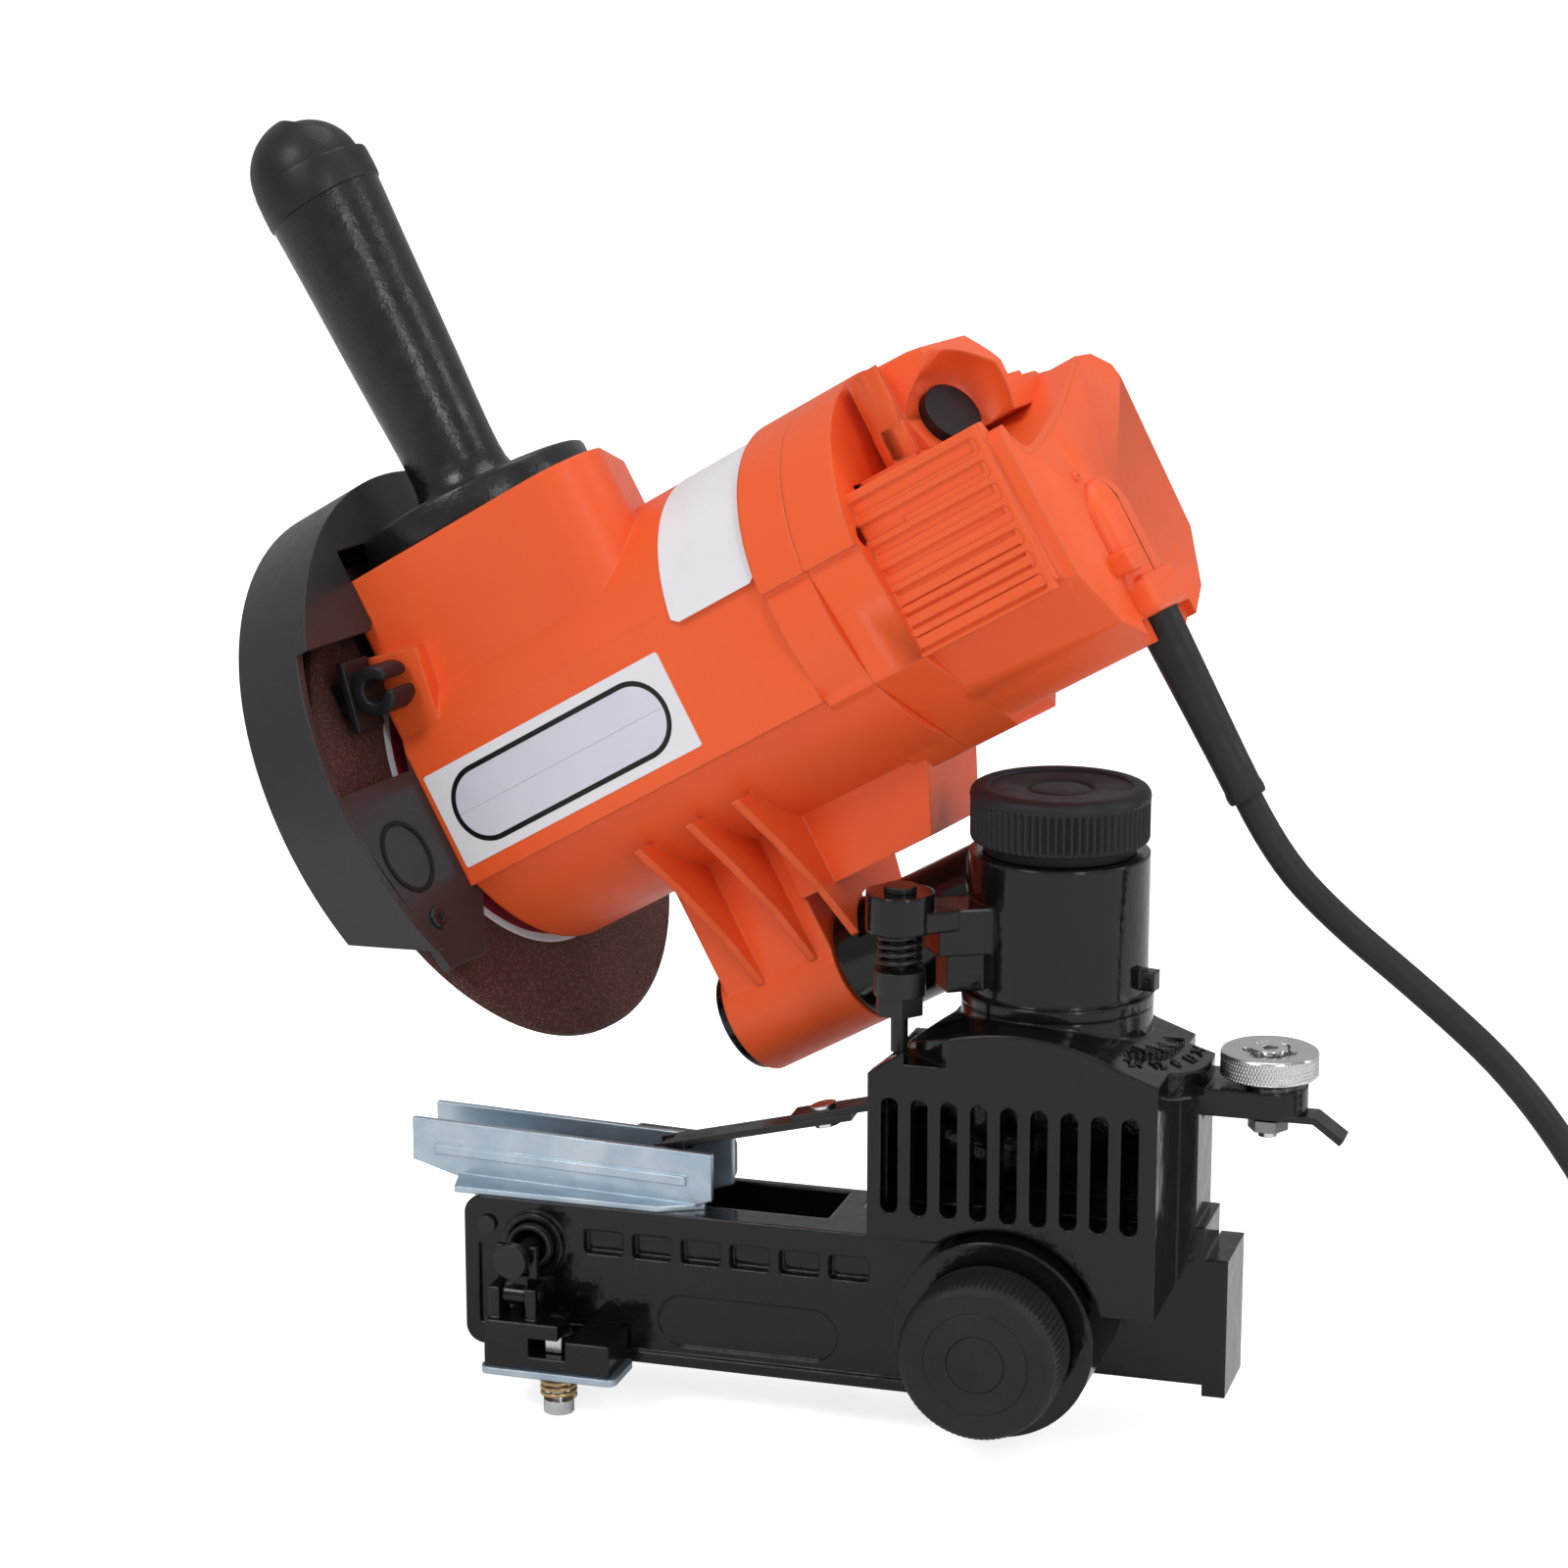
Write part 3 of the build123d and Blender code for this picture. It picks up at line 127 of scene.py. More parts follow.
# skin of a moulded or cast piece: slow colour drift, a lighter edge tint that is partly wear and partly
# painted highlight, fine grain as bump, roughness that varies
def makeSkinGroup():
    tree, given, out = newGroup(
        "mouldedSkin",
        [("Base", "Color", (0.5, 0.5, 0.5, 1)), ("Drift", "Color", (0.5, 0.5, 0.5, 1)),
         ("Wear And Highlight", "Color", (0.7, 0.7, 0.7, 1)),
         ("Edge", "Float", 0.0), ("Drift Scale", "Float", 30.0), ("Grain Scale", "Float", 2500.0),
         ("Grain Depth", "Float", 0.00004),
         ("Wave Scale", "Float", 150.0), ("Wave Depth", "Float", 0.00006), ("Rough Low", "Float", 0.3),
         ("Rough High", "Float", 0.5),
         ("Normal", "Vector", (0, 0, 0))],
        [("Color", "Color"), ("Roughness", "Float"), ("Normal", "Vector")])
    place = put(tree, "TexCoord").outputs["Object"]
    drift = noise(tree, place, given["Drift Scale"], 4.0)
    toned = blendColour(tree, spread(tree, drift.outputs[0], 0.35, 0.68, 0.0, 1.0), given["Base"],
                        given["Drift"])
    # edge mask broken up by noise, mixing towards the lighter edge colour: partly wear, partly a painted
    # highlight on the edges
    edgeBreakup = noise(tree, place, 900.0, 2.0)
    kept = put(tree, "Math", {0: given["Edge"], 1: spread(tree, edgeBreakup.outputs[0], 0.3, 0.62, 0.15, 1.0)},
               operation="MULTIPLY", use_clamp=True)
    final = blendColour(tree, kept.outputs[0], toned, given["Wear And Highlight"])
    grain = noise(tree, place, given["Grain Scale"], 2.0)
    wave = noise(tree, place, given["Wave Scale"], 2.0)
    low = put(tree, "Bump",
              {"Height": wave.outputs[0], "Distance": given["Wave Depth"], "Strength": 1.0,
               "Normal": given["Normal"]})
    fine = put(tree, "Bump",
               {"Height": grain.outputs[0], "Distance": given["Grain Depth"], "Strength": 1.0,
                "Normal": low.outputs[0]})
    mottle = noise(tree, place, 220.0, 5.0)
    rough = put(tree, "MapRange",
                {"Value": mottle.outputs[0], "From Min": 0.3, "From Max": 0.7,
                 "To Min": given["Rough Low"], "To Max": given["Rough High"]})
    tree.links.new(final, out["Color"])
    tree.links.new(rough.outputs[0], out["Roughness"])
    tree.links.new(fine.outputs[0], out["Normal"])
    return tree


# rolled or plated sheet: streaks drawn out along one axis, with a cloudy bloom of the plating
def makeSheetGroup():
    tree, given, out = newGroup(
        "platedSheet",
        [("Base", "Color", (0.6, 0.6, 0.6, 1)), ("Bloom", "Color", (0.6, 0.6, 0.6, 1)),
         ("Stretch", "Vector", (1, 1, 1)), ("Streak Scale", "Float", 400.0),
         ("Streak Depth", "Float", 0.00002), ("Rough Low", "Float", 0.2), ("Rough High", "Float", 0.45),
         ("Normal", "Vector", (0, 0, 0))],
        [("Color", "Color"), ("Roughness", "Float"), ("Normal", "Vector")])
    place = put(tree, "TexCoord").outputs["Object"]
    drawn = put(tree, "VectorMath", {0: place, 1: given["Stretch"]}, operation="MULTIPLY").outputs[0]
    streak = noise(tree, drawn, given["Streak Scale"], 3.0)
    cloud = noise(tree, place, 55.0, 5.0, 0.6)
    color = blendColour(tree, spread(tree, cloud.outputs[0], 0.36, 0.66, 0.0, 1.0), given["Base"],
                        given["Bloom"])
    both = put(tree, "Math", {0: streak.outputs[0], 1: cloud.outputs[0]}, operation="ADD")
    rough = put(tree, "MapRange",
                {"Value": both.outputs[0], "From Min": 0.7, "From Max": 1.3, "To Min": given["Rough Low"],
                 "To Max": given["Rough High"]})
    bump = put(tree, "Bump",
               {"Height": streak.outputs[0], "Distance": given["Streak Depth"], "Strength": 1.0,
                "Normal": given["Normal"]})
    tree.links.new(color, out["Color"])
    tree.links.new(rough.outputs[0], out["Roughness"])
    tree.links.new(bump.outputs[0], out["Normal"])
    return tree


# bonded grit: cells of single grains with their own tone, dark pores between them
def makeGritGroup():
    tree, given, out = newGroup(
        "bondedGrit",
        [("Grain", "Color", (0.3, 0.1, 0.06, 1)), ("Pale Grain", "Color", (0.5, 0.3, 0.25, 1)),
         ("Bond", "Color", (0.1, 0.03, 0.02, 1)),
         ("Size", "Float", 1800.0), ("Depth", "Float", 0.0002), ("Normal", "Vector", (0, 0, 0))],
        [("Color", "Color"), ("Normal", "Vector")])
    place = put(tree, "TexCoord").outputs["Object"]
    cells = put(tree, "TexVoronoi", {"Vector": place, "Scale": given["Size"]})
    tone = put(tree, "SeparateColor", {0: cells.outputs["Color"]}).outputs[0]
    grains = blendColour(tree, spread(tree, tone, 0.72, 0.95, 0.0, 1.0), given["Grain"],
                         given["Pale Grain"])
    pores = spread(tree, cells.outputs["Distance"], 0.35, 0.8, 0.0, 1.0)
    tinted = blendColour(tree, pores, grains, given["Bond"])
    drift = noise(tree, place, 40.0, 3.0)
    final = blendColour(tree, spread(tree, drift.outputs[0], 0.35, 0.7, 0.0, 0.35), tinted, given["Bond"])
    bump = put(tree, "Bump",
               {"Height": cells.outputs["Distance"], "Distance": given["Depth"], "Strength": 0.6,
                "Normal": given["Normal"]}, invert=True)
    tree.links.new(final, out["Color"])
    tree.links.new(bump.outputs[0], out["Normal"])
    return tree


edgeGroup, skinGroup = makeEdgeGroup(), makeSkinGroup()
sheetGroup, gritGroup = makeSheetGroup(), makeGritGroup()


def groupNode(tree, group, values):
    made = tree.nodes.new("ShaderNodeGroup")
    made.node_tree = group
    for key, value in values.items():
        if isinstance(value, bpy.types.NodeSocket):
            tree.links.new(value, made.inputs[key])
        else:
            made.inputs[key].default_value = value
    return made


# a material whose shader gets colour, roughness and normal from one of the groups
def newMaterial(name, group, values, edge=(0.0006, 6.0), worn=0.0, **shader):
    made = bpy.data.materials.new(name)
    made.use_nodes = True
    tree = made.node_tree
    surface = tree.nodes["Principled BSDF"]
    edges = groupNode(tree, edgeGroup, {"Radius": edge[0], "Gain": edge[1]})
    skin = groupNode(tree, group, {**values, "Normal": edges.outputs["Normal"]})
    # the lighter edge colour laid by the edge mask is partly wear and partly a painted highlight
    if worn:
        amount = put(tree, "Math", {0: edges.outputs["Edge"], 1: worn}, operation="MULTIPLY").outputs[0]
        tree.links.new(amount, skin.inputs["Edge"])
    tree.links.new(skin.outputs["Color"], surface.inputs["Base Color"])
    tree.links.new(skin.outputs["Normal"], surface.inputs["Normal"])
    if "Roughness" in skin.outputs:
        tree.links.new(skin.outputs["Roughness"], surface.inputs["Roughness"])
    for key, value in shader.items():
        surface.inputs[key.replace("_", " ")].default_value = value
    return made


# values of the moulded or cast skin: linear colours, (scale, depth) of grain and wave, (low, high)
# of roughness
def skin(base, drift, tint, driftScale, grain, wave, rough, **more):
    return skinGroup, {"Base": (*base, 1), "Drift": (*drift, 1), "Wear And Highlight": (*tint, 1),
                       "Drift Scale": driftScale, "Grain Scale": grain[0], "Grain Depth": grain[1],
                       "Wave Scale": wave[0], "Wave Depth": wave[1], "Rough Low": rough[0],
                       "Rough High": rough[1]}, more


# values of the rolled or plated sheet: (scale, depth) of its streaks, drawn out by the stretch
def sheet(base, bloom, stretch, streak, rough, **more):
    return sheetGroup, {"Base": (*base, 1), "Bloom": (*bloom, 1), "Stretch": stretch,
                        "Streak Scale": streak[0], "Streak Depth": streak[1], "Rough Low": rough[0],
                        "Rough High": rough[1]}, more


# in each finish the tint is its lighter edge colour, partly wear and partly a painted highlight on the
# edges
finishSettings = {
    "orangeShell": skin(
        base=(0.80, 0.098, 0.020), drift=(0.84, 0.112, 0.025), tint=(0.92, 0.22, 0.09),
        driftScale=14.0, grain=(3200.0, 0.00003), wave=(45.0, 0.0002), rough=(0.36, 0.48),
        edge=(0.0011, 5.0), worn=0.4, Specular_IOR_Level=0.35),
    "blackPaint": skin(
        base=(0.0035, 0.0030, 0.0034), drift=(0.006, 0.005, 0.0055), tint=(0.03, 0.03, 0.032),
        driftScale=25.0, grain=(700.0, 0.00004), wave=(120.0, 0.00022), rough=(0.08, 0.17),
        edge=(0.0012, 4.0), worn=0.3, Specular_IOR_Level=0.34),
    "blackPlastic": skin(
        base=(0.0075, 0.0078, 0.0095), drift=(0.011, 0.0115, 0.014), tint=(0.035, 0.036, 0.042),
        driftScale=30.0, grain=(2600.0, 0.00004), wave=(100.0, 0.00004), rough=(0.34, 0.48),
        edge=(0.0006, 5.0), worn=0.4, Specular_IOR_Level=0.3),
    "guardPlastic": skin(
        base=(0.021, 0.0212, 0.0235), drift=(0.026, 0.0262, 0.029), tint=(0.06, 0.06, 0.066),
        driftScale=30.0, grain=(2600.0, 0.00004), wave=(100.0, 0.00004), rough=(0.3, 0.42),
        edge=(0.0006, 5.0), worn=0.4, Specular_IOR_Level=0.4),
    "knobPlastic": skin(
        base=(0.0085, 0.009, 0.0115), drift=(0.012, 0.0125, 0.016), tint=(0.030, 0.031, 0.037),
        driftScale=60.0, grain=(3000.0, 0.00005), wave=(130.0, 0.00004), rough=(0.46, 0.6),
        edge=(0.0003, 4.0), worn=0.3, Specular_IOR_Level=0.3),
    "ringPlastic": skin(
        base=(0.003, 0.003, 0.0035), drift=(0.005, 0.005, 0.006), tint=(0.012, 0.012, 0.013),
        driftScale=60.0, grain=(2600.0, 0.00003), wave=(100.0, 0.00003), rough=(0.4, 0.52),
        edge=(0.0003, 4.0), Specular_IOR_Level=0.2),
    "handlePlastic": skin(
        base=(0.0062, 0.0065, 0.0085), drift=(0.0095, 0.010, 0.013), tint=(0.04, 0.04, 0.046),
        driftScale=22.0, grain=(900.0, 0.00008), wave=(320.0, 0.00016), rough=(0.2, 0.36),
        edge=(0.0008, 4.0), worn=0.3, Specular_IOR_Level=0.45),
    "capPlastic": skin(
        base=(0.008, 0.0085, 0.0105), drift=(0.011, 0.0115, 0.014), tint=(0.04, 0.04, 0.046),
        driftScale=40.0, grain=(2200.0, 0.00006), wave=(180.0, 0.00005), rough=(0.34, 0.5),
        edge=(0.0006, 5.0), worn=0.4, Specular_IOR_Level=0.35),
    "labelPaper": skin(
        base=(0.78, 0.77, 0.80), drift=(0.74, 0.73, 0.77), tint=(0.6, 0.6, 0.62),
        driftScale=60.0, grain=(1600.0, 0.00002), wave=(60.0, 0.00006), rough=(0.34, 0.46),
        edge=(0.0002, 3.0), Specular_IOR_Level=0.4),
    "labelPanel": skin(
        base=(0.66, 0.65, 0.72), drift=(0.62, 0.61, 0.69), tint=(0.6, 0.6, 0.62),
        driftScale=35.0, grain=(1600.0, 0.00002), wave=(60.0, 0.00006), rough=(0.34, 0.46),
        edge=(0.0002, 3.0), Specular_IOR_Level=0.4),
    "labelInk": skin(
        base=(0.004, 0.004, 0.005), drift=(0.008, 0.008, 0.009), tint=(0.02, 0.02, 0.02),
        driftScale=90.0, grain=(1600.0, 0.00001), wave=(60.0, 0.00002), rough=(0.3, 0.42),
        edge=(0.0001, 3.0), Specular_IOR_Level=0.3),
    "labelRed": skin(
        base=(0.25, 0.010, 0.035), drift=(0.33, 0.03, 0.06), tint=(0.5, 0.3, 0.3),
        driftScale=260.0, grain=(1200.0, 0.00002), wave=(60.0, 0.00003), rough=(0.4, 0.55),
        edge=(0.0002, 3.0)),
    "blackRubber": skin(
        base=(0.011, 0.0115, 0.013), drift=(0.016, 0.0165, 0.018), tint=(0.035, 0.035, 0.038),
        driftScale=40.0, grain=(1800.0, 0.00004), wave=(90.0, 0.00004), rough=(0.48, 0.62),
        edge=(0.0005, 4.0), Specular_IOR_Level=0.3),
    "blackSteel": skin(
        base=(0.006, 0.006, 0.0065), drift=(0.011, 0.011, 0.012), tint=(0.07, 0.07, 0.07),
        driftScale=60.0, grain=(1500.0, 0.00003), wave=(200.0, 0.00005), rough=(0.25, 0.42),
        edge=(0.0005, 5.0), worn=0.5, Specular_IOR_Level=0.4),
    "zincSteel": sheet(
        base=(0.52, 0.60, 0.66), bloom=(0.36, 0.46, 0.55), stretch=(0.12, 1.0, 1.0),
        streak=(700.0, 0.00003), rough=(0.24, 0.44), edge=(0.0007, 5.0), Metallic=0.85),
    "brightSteel": sheet(
        base=(0.72, 0.72, 0.73), bloom=(0.60, 0.60, 0.62), stretch=(1.0, 1.0, 0.3),
        streak=(900.0, 0.00002), rough=(0.16, 0.32), edge=(0.0004, 5.0), Metallic=1.0),
    "darkSteel": sheet(
        base=(0.33, 0.33, 0.34), bloom=(0.24, 0.24, 0.25), stretch=(1.0, 1.0, 0.3),
        streak=(900.0, 0.00002), rough=(0.28, 0.45), edge=(0.0004, 5.0), Metallic=1.0),
    "brassWire": sheet(
        base=(0.66, 0.47, 0.22), bloom=(0.52, 0.37, 0.18), stretch=(1.0, 1.0, 0.6),
        streak=(900.0, 0.00001), rough=(0.2, 0.34), edge=(0.0003, 3.0), Metallic=1.0),
    "redGrit": (gritGroup, {"Grain": (0.085, 0.022, 0.014, 1), "Pale Grain": (0.20, 0.095, 0.075, 1),
        "Bond": (0.035, 0.009, 0.006, 1), "Size": 2100.0, "Depth": 0.00025},
        dict(edge=(0.0004, 3.0), Roughness=0.82)),
    "laminations": sheet(
        base=(0.35, 0.34, 0.33), bloom=(0.22, 0.21, 0.20), stretch=(1.6, 0.2, 0.2),
        streak=(1400.0, 0.00008), rough=(0.35, 0.55), edge=(0.0003, 3.0), Metallic=0.9),
}
finishes = {name: newMaterial(name, group, values, **more) for name,
            (group, values, more) in finishSettings.items()}

nodeFinish = {
    "orangeShell": ["motor_housing", "rear_cover"],
    "blackPaint": ["base_casting", "vise_arm", "column", "lever_block", "clamp_lever", "rear_jaw",
                   "barrel_cap"],
    "blackPlastic": ["tilt_knob", "column_knob", "guard_clip", "switch_button", "switch_body", "fan",
                     "brush_holders", "plug"],
    "guardPlastic": ["guard"],
    "handlePlastic": ["handle", "handle_cap"],
    "blackRubber": ["cord", "cord_coil", "cord_sleeve"],
    "blackSteel": ["stop_bar", "stop_link", "stop_pawl", "pawl_pin", "index_pin", "index_spring",
                   "clamp_rod", "clamp_spring", "arm_rivet", "guard_screws",
                   "cover_screws", "lever_pin"],
    "zincSteel": ["front_rail", "rear_rail", "spring_plate"],
    "brightSteel": ["stop_knob", "stop_rivet", "stop_screw", "adjust_screw", "adjust_nut", "wheel_nut",
                    "wheel_flanges", "spindle", "bearings"],
    "darkSteel": ["pivot_stud", "tilt_bolt", "tilt_washer", "stop_nut", "hinge_pin", "return_spring",
                  "handle_bolt", "tilt_knob_insert", "column_knob_insert"],
    "brassWire": ["adjust_spring"],
    "redGrit": ["grinding_wheel"],
    "laminations": ["stator", "armature"],
}
for finish, members in nodeFinish.items():
    for member in members:
        nodes[member].data.materials.clear()
        nodes[member].data.materials.append(finishes[finish])
print("finishes set on", sum(len(m) for m in nodeFinish.values()), "nodes")


# ---- mesh from grids
# grid of points (rows, columns, 3) in a frame's millimetres, joined as quads; a wrapped side closes
# on itself
def gridMesh(name, place, grid, wrapRows=False, wrapColumns=True, caps=False):
    rows, columns = grid.shape[:2]
    index = np.arange(rows * columns).reshape(rows, columns)
    if wrapColumns:
        index = np.concatenate([index, index[:, :1]], axis=1)
    if wrapRows:
        index = np.concatenate([index, index[:1]], axis=0)
    quads = np.stack([index[:-1, :-1], index[:-1, 1:], index[1:, 1:], index[1:, :-1]],
                     axis=-1).reshape(-1, 4).tolist()
    if caps:
        quads += [index[0, :columns][::-1].tolist(), index[-1, :columns].tolist()]
    mesh = bpy.data.meshes.new(name)
    mesh.from_pydata((inWorld(place, grid.reshape(-1, 3)) * mm).tolist(), [], quads)
    mesh.update()
    piece = bpy.data.objects.new(name, mesh)
    bpy.context.scene.collection.objects.link(piece)
    return piece


# surface of revolution about the frame's z: each profile pair (radius, height) is carried round in
# equal steps
def lathe(name, place, profile, steps=96, ripple=None, ring=False):
    profile = np.asarray(profile, float)
    turn = np.linspace(0, 2 * np.pi, steps, endpoint=False)
    radius = np.repeat(profile[:, :1], steps, axis=1)
    if ripple is not None:
        radius = radius + ripple(turn[None, :], profile[:, :1], profile[:, 1:2])
    height = np.repeat(profile[:, 1:2], steps, axis=1)
    return gridMesh(name, place,
                    np.stack([radius * np.cos(turn), radius * np.sin(turn), height], axis=-1),
                    wrapRows=ring, caps=not ring)


def finished(piece, body, material, stands=(), smooth=35.0, slot=None):
    piece.data.materials.append(finishes[material])
    if smooth:
        piece.data.polygons.foreach_set("use_smooth", [True] * len(piece.data.polygons))
        piece.data.set_sharp_from_angle(angle=np.radians(smooth))
    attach(piece, body)
    if stands:
        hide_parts(*stands)
    return piece


# closed outline of a rectangle with round corners, counter-clockwise: four quarter arcs about the
# corner centres
def roundedOutline(width, height, radius, corner=8):
    angle = np.concatenate([np.linspace(0, 90, corner) + 90 * k for k in range(4)])
    side = np.repeat([(1, 1), (-1, 1), (-1, -1), (1, -1)], corner, axis=0)
    centre = side * (np.array([width, height]) / 2 - radius)
    return centre + radius * np.column_stack([np.cos(np.radians(angle)), np.sin(np.radians(angle))])


# outline moved inwards by a distance along its own normals, which stand square to the chord between
# its neighbours
def inset(outline, distance):
    chord = np.roll(outline, -1, axis=0) - np.roll(outline, 1, axis=0)
    inward = np.column_stack([-chord[:, 1], chord[:, 0]]) / np.linalg.norm(chord, axis=1)[:, None]
    return outline + inward * distance


def stacked(rows):
    return np.stack([np.column_stack([outline, np.full(len(outline), height)]) for outline,
                     height in rows])


# plate over an outline, with its upper and lower rims rounded by a quarter circle
def plate(name, place, outline, low, high, rim=0.3, under=0.0):
    bend = np.radians([0, 30, 60, 90])
    rows = [(inset(outline, under * (1 - np.sin(t))), low + under
             * (1 - np.cos(t))) for t in bend] if under else [(outline, low)]
    rows += [(inset(outline, rim * (1 - np.cos(t))), high - rim * (1 - np.sin(t))) for t in bend]
    return gridMesh(name, place, stacked(rows), caps=True)


# flat band that runs round an outline: four lines of the same outline, closed on themselves
def band(name, place, outline, width, low, high):
    inner = inset(outline, width)
    return gridMesh(name, place, stacked([(outline, low), (outline, high), (inner, high), (inner, low)]),
                    wrapRows=True)


# ---- camera and cord
cameraSettings = {"at": (0.1678, -0.9633, 0.3721), "towards": (-0.1257, 0.0150, 0.1287), "lens": 91.8,
                  "sensor": 36.0}
cameraData = bpy.data.cameras.new("camera")
cameraData.lens, cameraData.sensor_width = cameraSettings["lens"], cameraSettings["sensor"]
cameraData.clip_start, cameraData.clip_end = 0.05, 60
camera = bpy.data.objects.new("camera", cameraData)
camera.location = cameraSettings["at"]
camera.rotation_euler = (Vector(cameraSettings["towards"])
                         - Vector(cameraSettings["at"])).to_track_quat("-Z", "Y").to_euler()
bpy.context.scene.collection.objects.link(camera)
bpy.context.scene.camera = camera

cordSettings = {
    "radius": 3.7, "floor": -25.9, "pitch": 7.4, "coilAt": (199.0, 34.0), "turnPoints": 16, "turns": 6.25,
    "layerAt": 2.6, "layerOver": 0.8, "leaveAt": 5.9, "leaveOver": 0.35,
    "turnRadii": (43.4, 36.0, 28.6, 28.6, 36.0, 43.4),
    "run": [(-0.02, -1.01, 137.5), (7.86, -2.4, 123.64), (23, -2.6, 108.5), (46, -3.0, 91.2),
            (69.5, -3.5, 71.5),
            (89, -5, 46), (103, -7, 21), (111, -8.3, -0.5), (136, -9.4, -25.9), (172, -9.4, -25.9)],
    "end": [(242.4, 52, -22.2), (242.4, 76, -22.2), (242.4, 94.5, -22.2)],
}


# coil: a point for each sixteenth of a turn, its radius easing from one turn's to the next and its
# height rising a layer half way
def coilPoints(s):
    count = s["turnPoints"]
    turns = s["turns"]
    t = np.linspace(0, turns, int(count * turns) + 1)
    stations = np.arange(len(s["turnRadii"])) + 0.5
    radius = np.interp(t, stations, s["turnRadii"]) / (0.75 + 0.25 * np.cos(2 * np.pi / count))
    height = s["floor"] + s["pitch"] * np.clip((t - s["layerAt"]) / s["layerOver"], 0,
        1) - np.clip((t - s["leaveAt"]) / s["leaveOver"], 0, 1) * s["pitch"] / 2
    angle = 2 * np.pi * t - np.pi / 2
    return np.column_stack([s["coilAt"][0] + radius * np.cos(angle), s["coilAt"][1] + radius
                            * np.sin(angle), height])


cordPoints = np.vstack([cordSettings["run"], coilPoints(cordSettings), cordSettings["end"]]) * mm
cordCurve = bpy.data.curves.new("powerCord", "CURVE")
cordCurve.dimensions = "3D"
line = cordCurve.splines.new("NURBS")
line.points.add(len(cordPoints) - 1)
line.points.foreach_set("co", np.column_stack([cordPoints, np.ones(len(cordPoints))]).ravel())
line.order_u = 3
line.use_endpoint_u = True
line.resolution_u = 6
cordCurve.bevel_depth = cordSettings["radius"] * mm
cordCurve.bevel_resolution = 6
cordCurve.use_fill_caps = True
powerCord = bpy.data.objects.new("powerCord", cordCurve)
bpy.context.scene.collection.objects.link(powerCord)
cordCurve.materials.append(finishes["blackRubber"])
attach(powerCord, "head")
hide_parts("cord", "cord_coil")

plugSettings = {
    "at": (242.4, 94.0, -22.2), "steps": 72, "pinRadius": 2.4, "pinLength": 19.0, "pinAt": 9.5,
    "face": 46.0,
    # along the plug: distance, half width, half thickness, squareness
    "sections": [(0.0, 4.4, 4.4, 2.0), (0.8, 5.2, 5.2, 2.0), (9.0, 5.2, 5.2, 2.0), (12.0, 8.4, 6.2, 2.1),
                 (16.0, 14.6, 7.2, 2.4), (20.0, 17.0, 7.4, 2.8),
                 (26.0, 17.5, 7.4, 3.2), (40.0, 17.4, 7.4, 3.4), (44.6, 16.9, 7.1, 3.4),
                 (45.7, 16.0, 6.3, 3.4), (46.0, 14.8, 5.2, 3.4)],
}


# plug grip: superellipse sections |x/a|^k + |y/b|^k = 1, lofted along the cord's line
def plugSurface(s):
    a, b, k = (np.array([row[i] for row in s["sections"]])[:, None] for i in (1, 2, 3))
    turn = np.linspace(0, 2 * np.pi, s["steps"], endpoint=False)[None, :]
    across = a * np.sign(np.cos(turn)) * np.abs(np.cos(turn)) ** (2 / k)
    up = b * np.sign(np.sin(turn)) * np.abs(np.sin(turn)) ** (2 / k)
    along = np.repeat(np.array([row[0] for row in s["sections"]])[:, None], s["steps"], axis=1)
    return np.stack([across, up, along], axis=-1)


plugFrame = np.column_stack([(1, 0, 0), (0, 0, -1), (0, 1, 0), plugSettings["at"]]).astype(float)
plugGrip = finished(gridMesh("plugGrip", plugFrame, plugSurface(plugSettings), caps=True), "head",
                    "blackRubber", ["plug"], 30.0)
for side in (-1, 1):
    pinFrame = shifted(plugFrame, (side * plugSettings["pinAt"], 0, plugSettings["face"] - 1))
    pinRadius, pinLength = plugSettings["pinRadius"], plugSettings["pinLength"] + 1
    pinProfile = [(0.3, 0), (pinRadius, 0), (pinRadius, pinLength - 1.6),
                  (pinRadius * 0.8, pinLength - 0.5), (pinRadius * 0.45, pinLength), (0.3, pinLength)]
    finished(lathe("plugPin" + str(side + 2), pinFrame, pinProfile, 32), "head",
        "brightSteel", ["plug"])
print("cord laid with", len(cordPoints), "points")

# ---- knobs
hubFront = np.column_stack([world[:, 0], world[:, 2], -world[:, 1], hub[:, 3]])
knobSettings = {
    "tilt": {"ribs": 84, "ribDepth": 0.5, "ribLow": 47.2, "ribHigh": 60.4, "fade": 1.2,
             "stands": ["tilt_knob"], "profile": [
        (9.0, 45.6), (19.6, 45.6), (20.4, 46.2), (20.7, 47.0), (20.7, 47.6), (20.7, 49.0), (20.7, 52.0),
        (20.7, 55.0), (20.7, 57.2), (20.7, 58.2), (20.55, 59.2),
        (20.2, 60.1), (19.7, 60.9), (19.1, 61.4), (18.3, 61.8), (17.4, 61.95), (13.6, 62.0),
        (13.3, 61.75), (13.0, 62.0), (7.6, 61.95), (7.35, 61.6), (7.1, 61.9),
        (0.6, 61.95)]},
    "column": {"ribs": 72, "ribDepth": 0.8, "ribLow": 124.9, "ribHigh": 135.4, "fade": 0.7,
               "stands": ["column_knob"], "profile": [
        (18.4, 121.6), (19.4, 121.7), (19.5, 122.2), (19.5, 124.2), (21.6, 124.4), (22.5, 124.9),
        (22.8, 125.6), (22.8, 126.3), (22.8, 129.0), (22.8, 131.5),
        (22.8, 133.5), (22.8, 134.7), (22.9, 135.5), (22.95, 136.2), (22.75, 137.1), (22.2, 137.9),
        (21.3, 138.4), (20.4, 138.6), (18.6, 138.6), (18.2, 138.4),
        (18.0, 137.9), (17.6, 137.75), (9.2, 137.7), (8.8, 137.45), (8.5, 136.9), (8.0, 136.85),
        (7.4, 137.3), (6.0, 137.5), (0.6, 137.55)]},
}


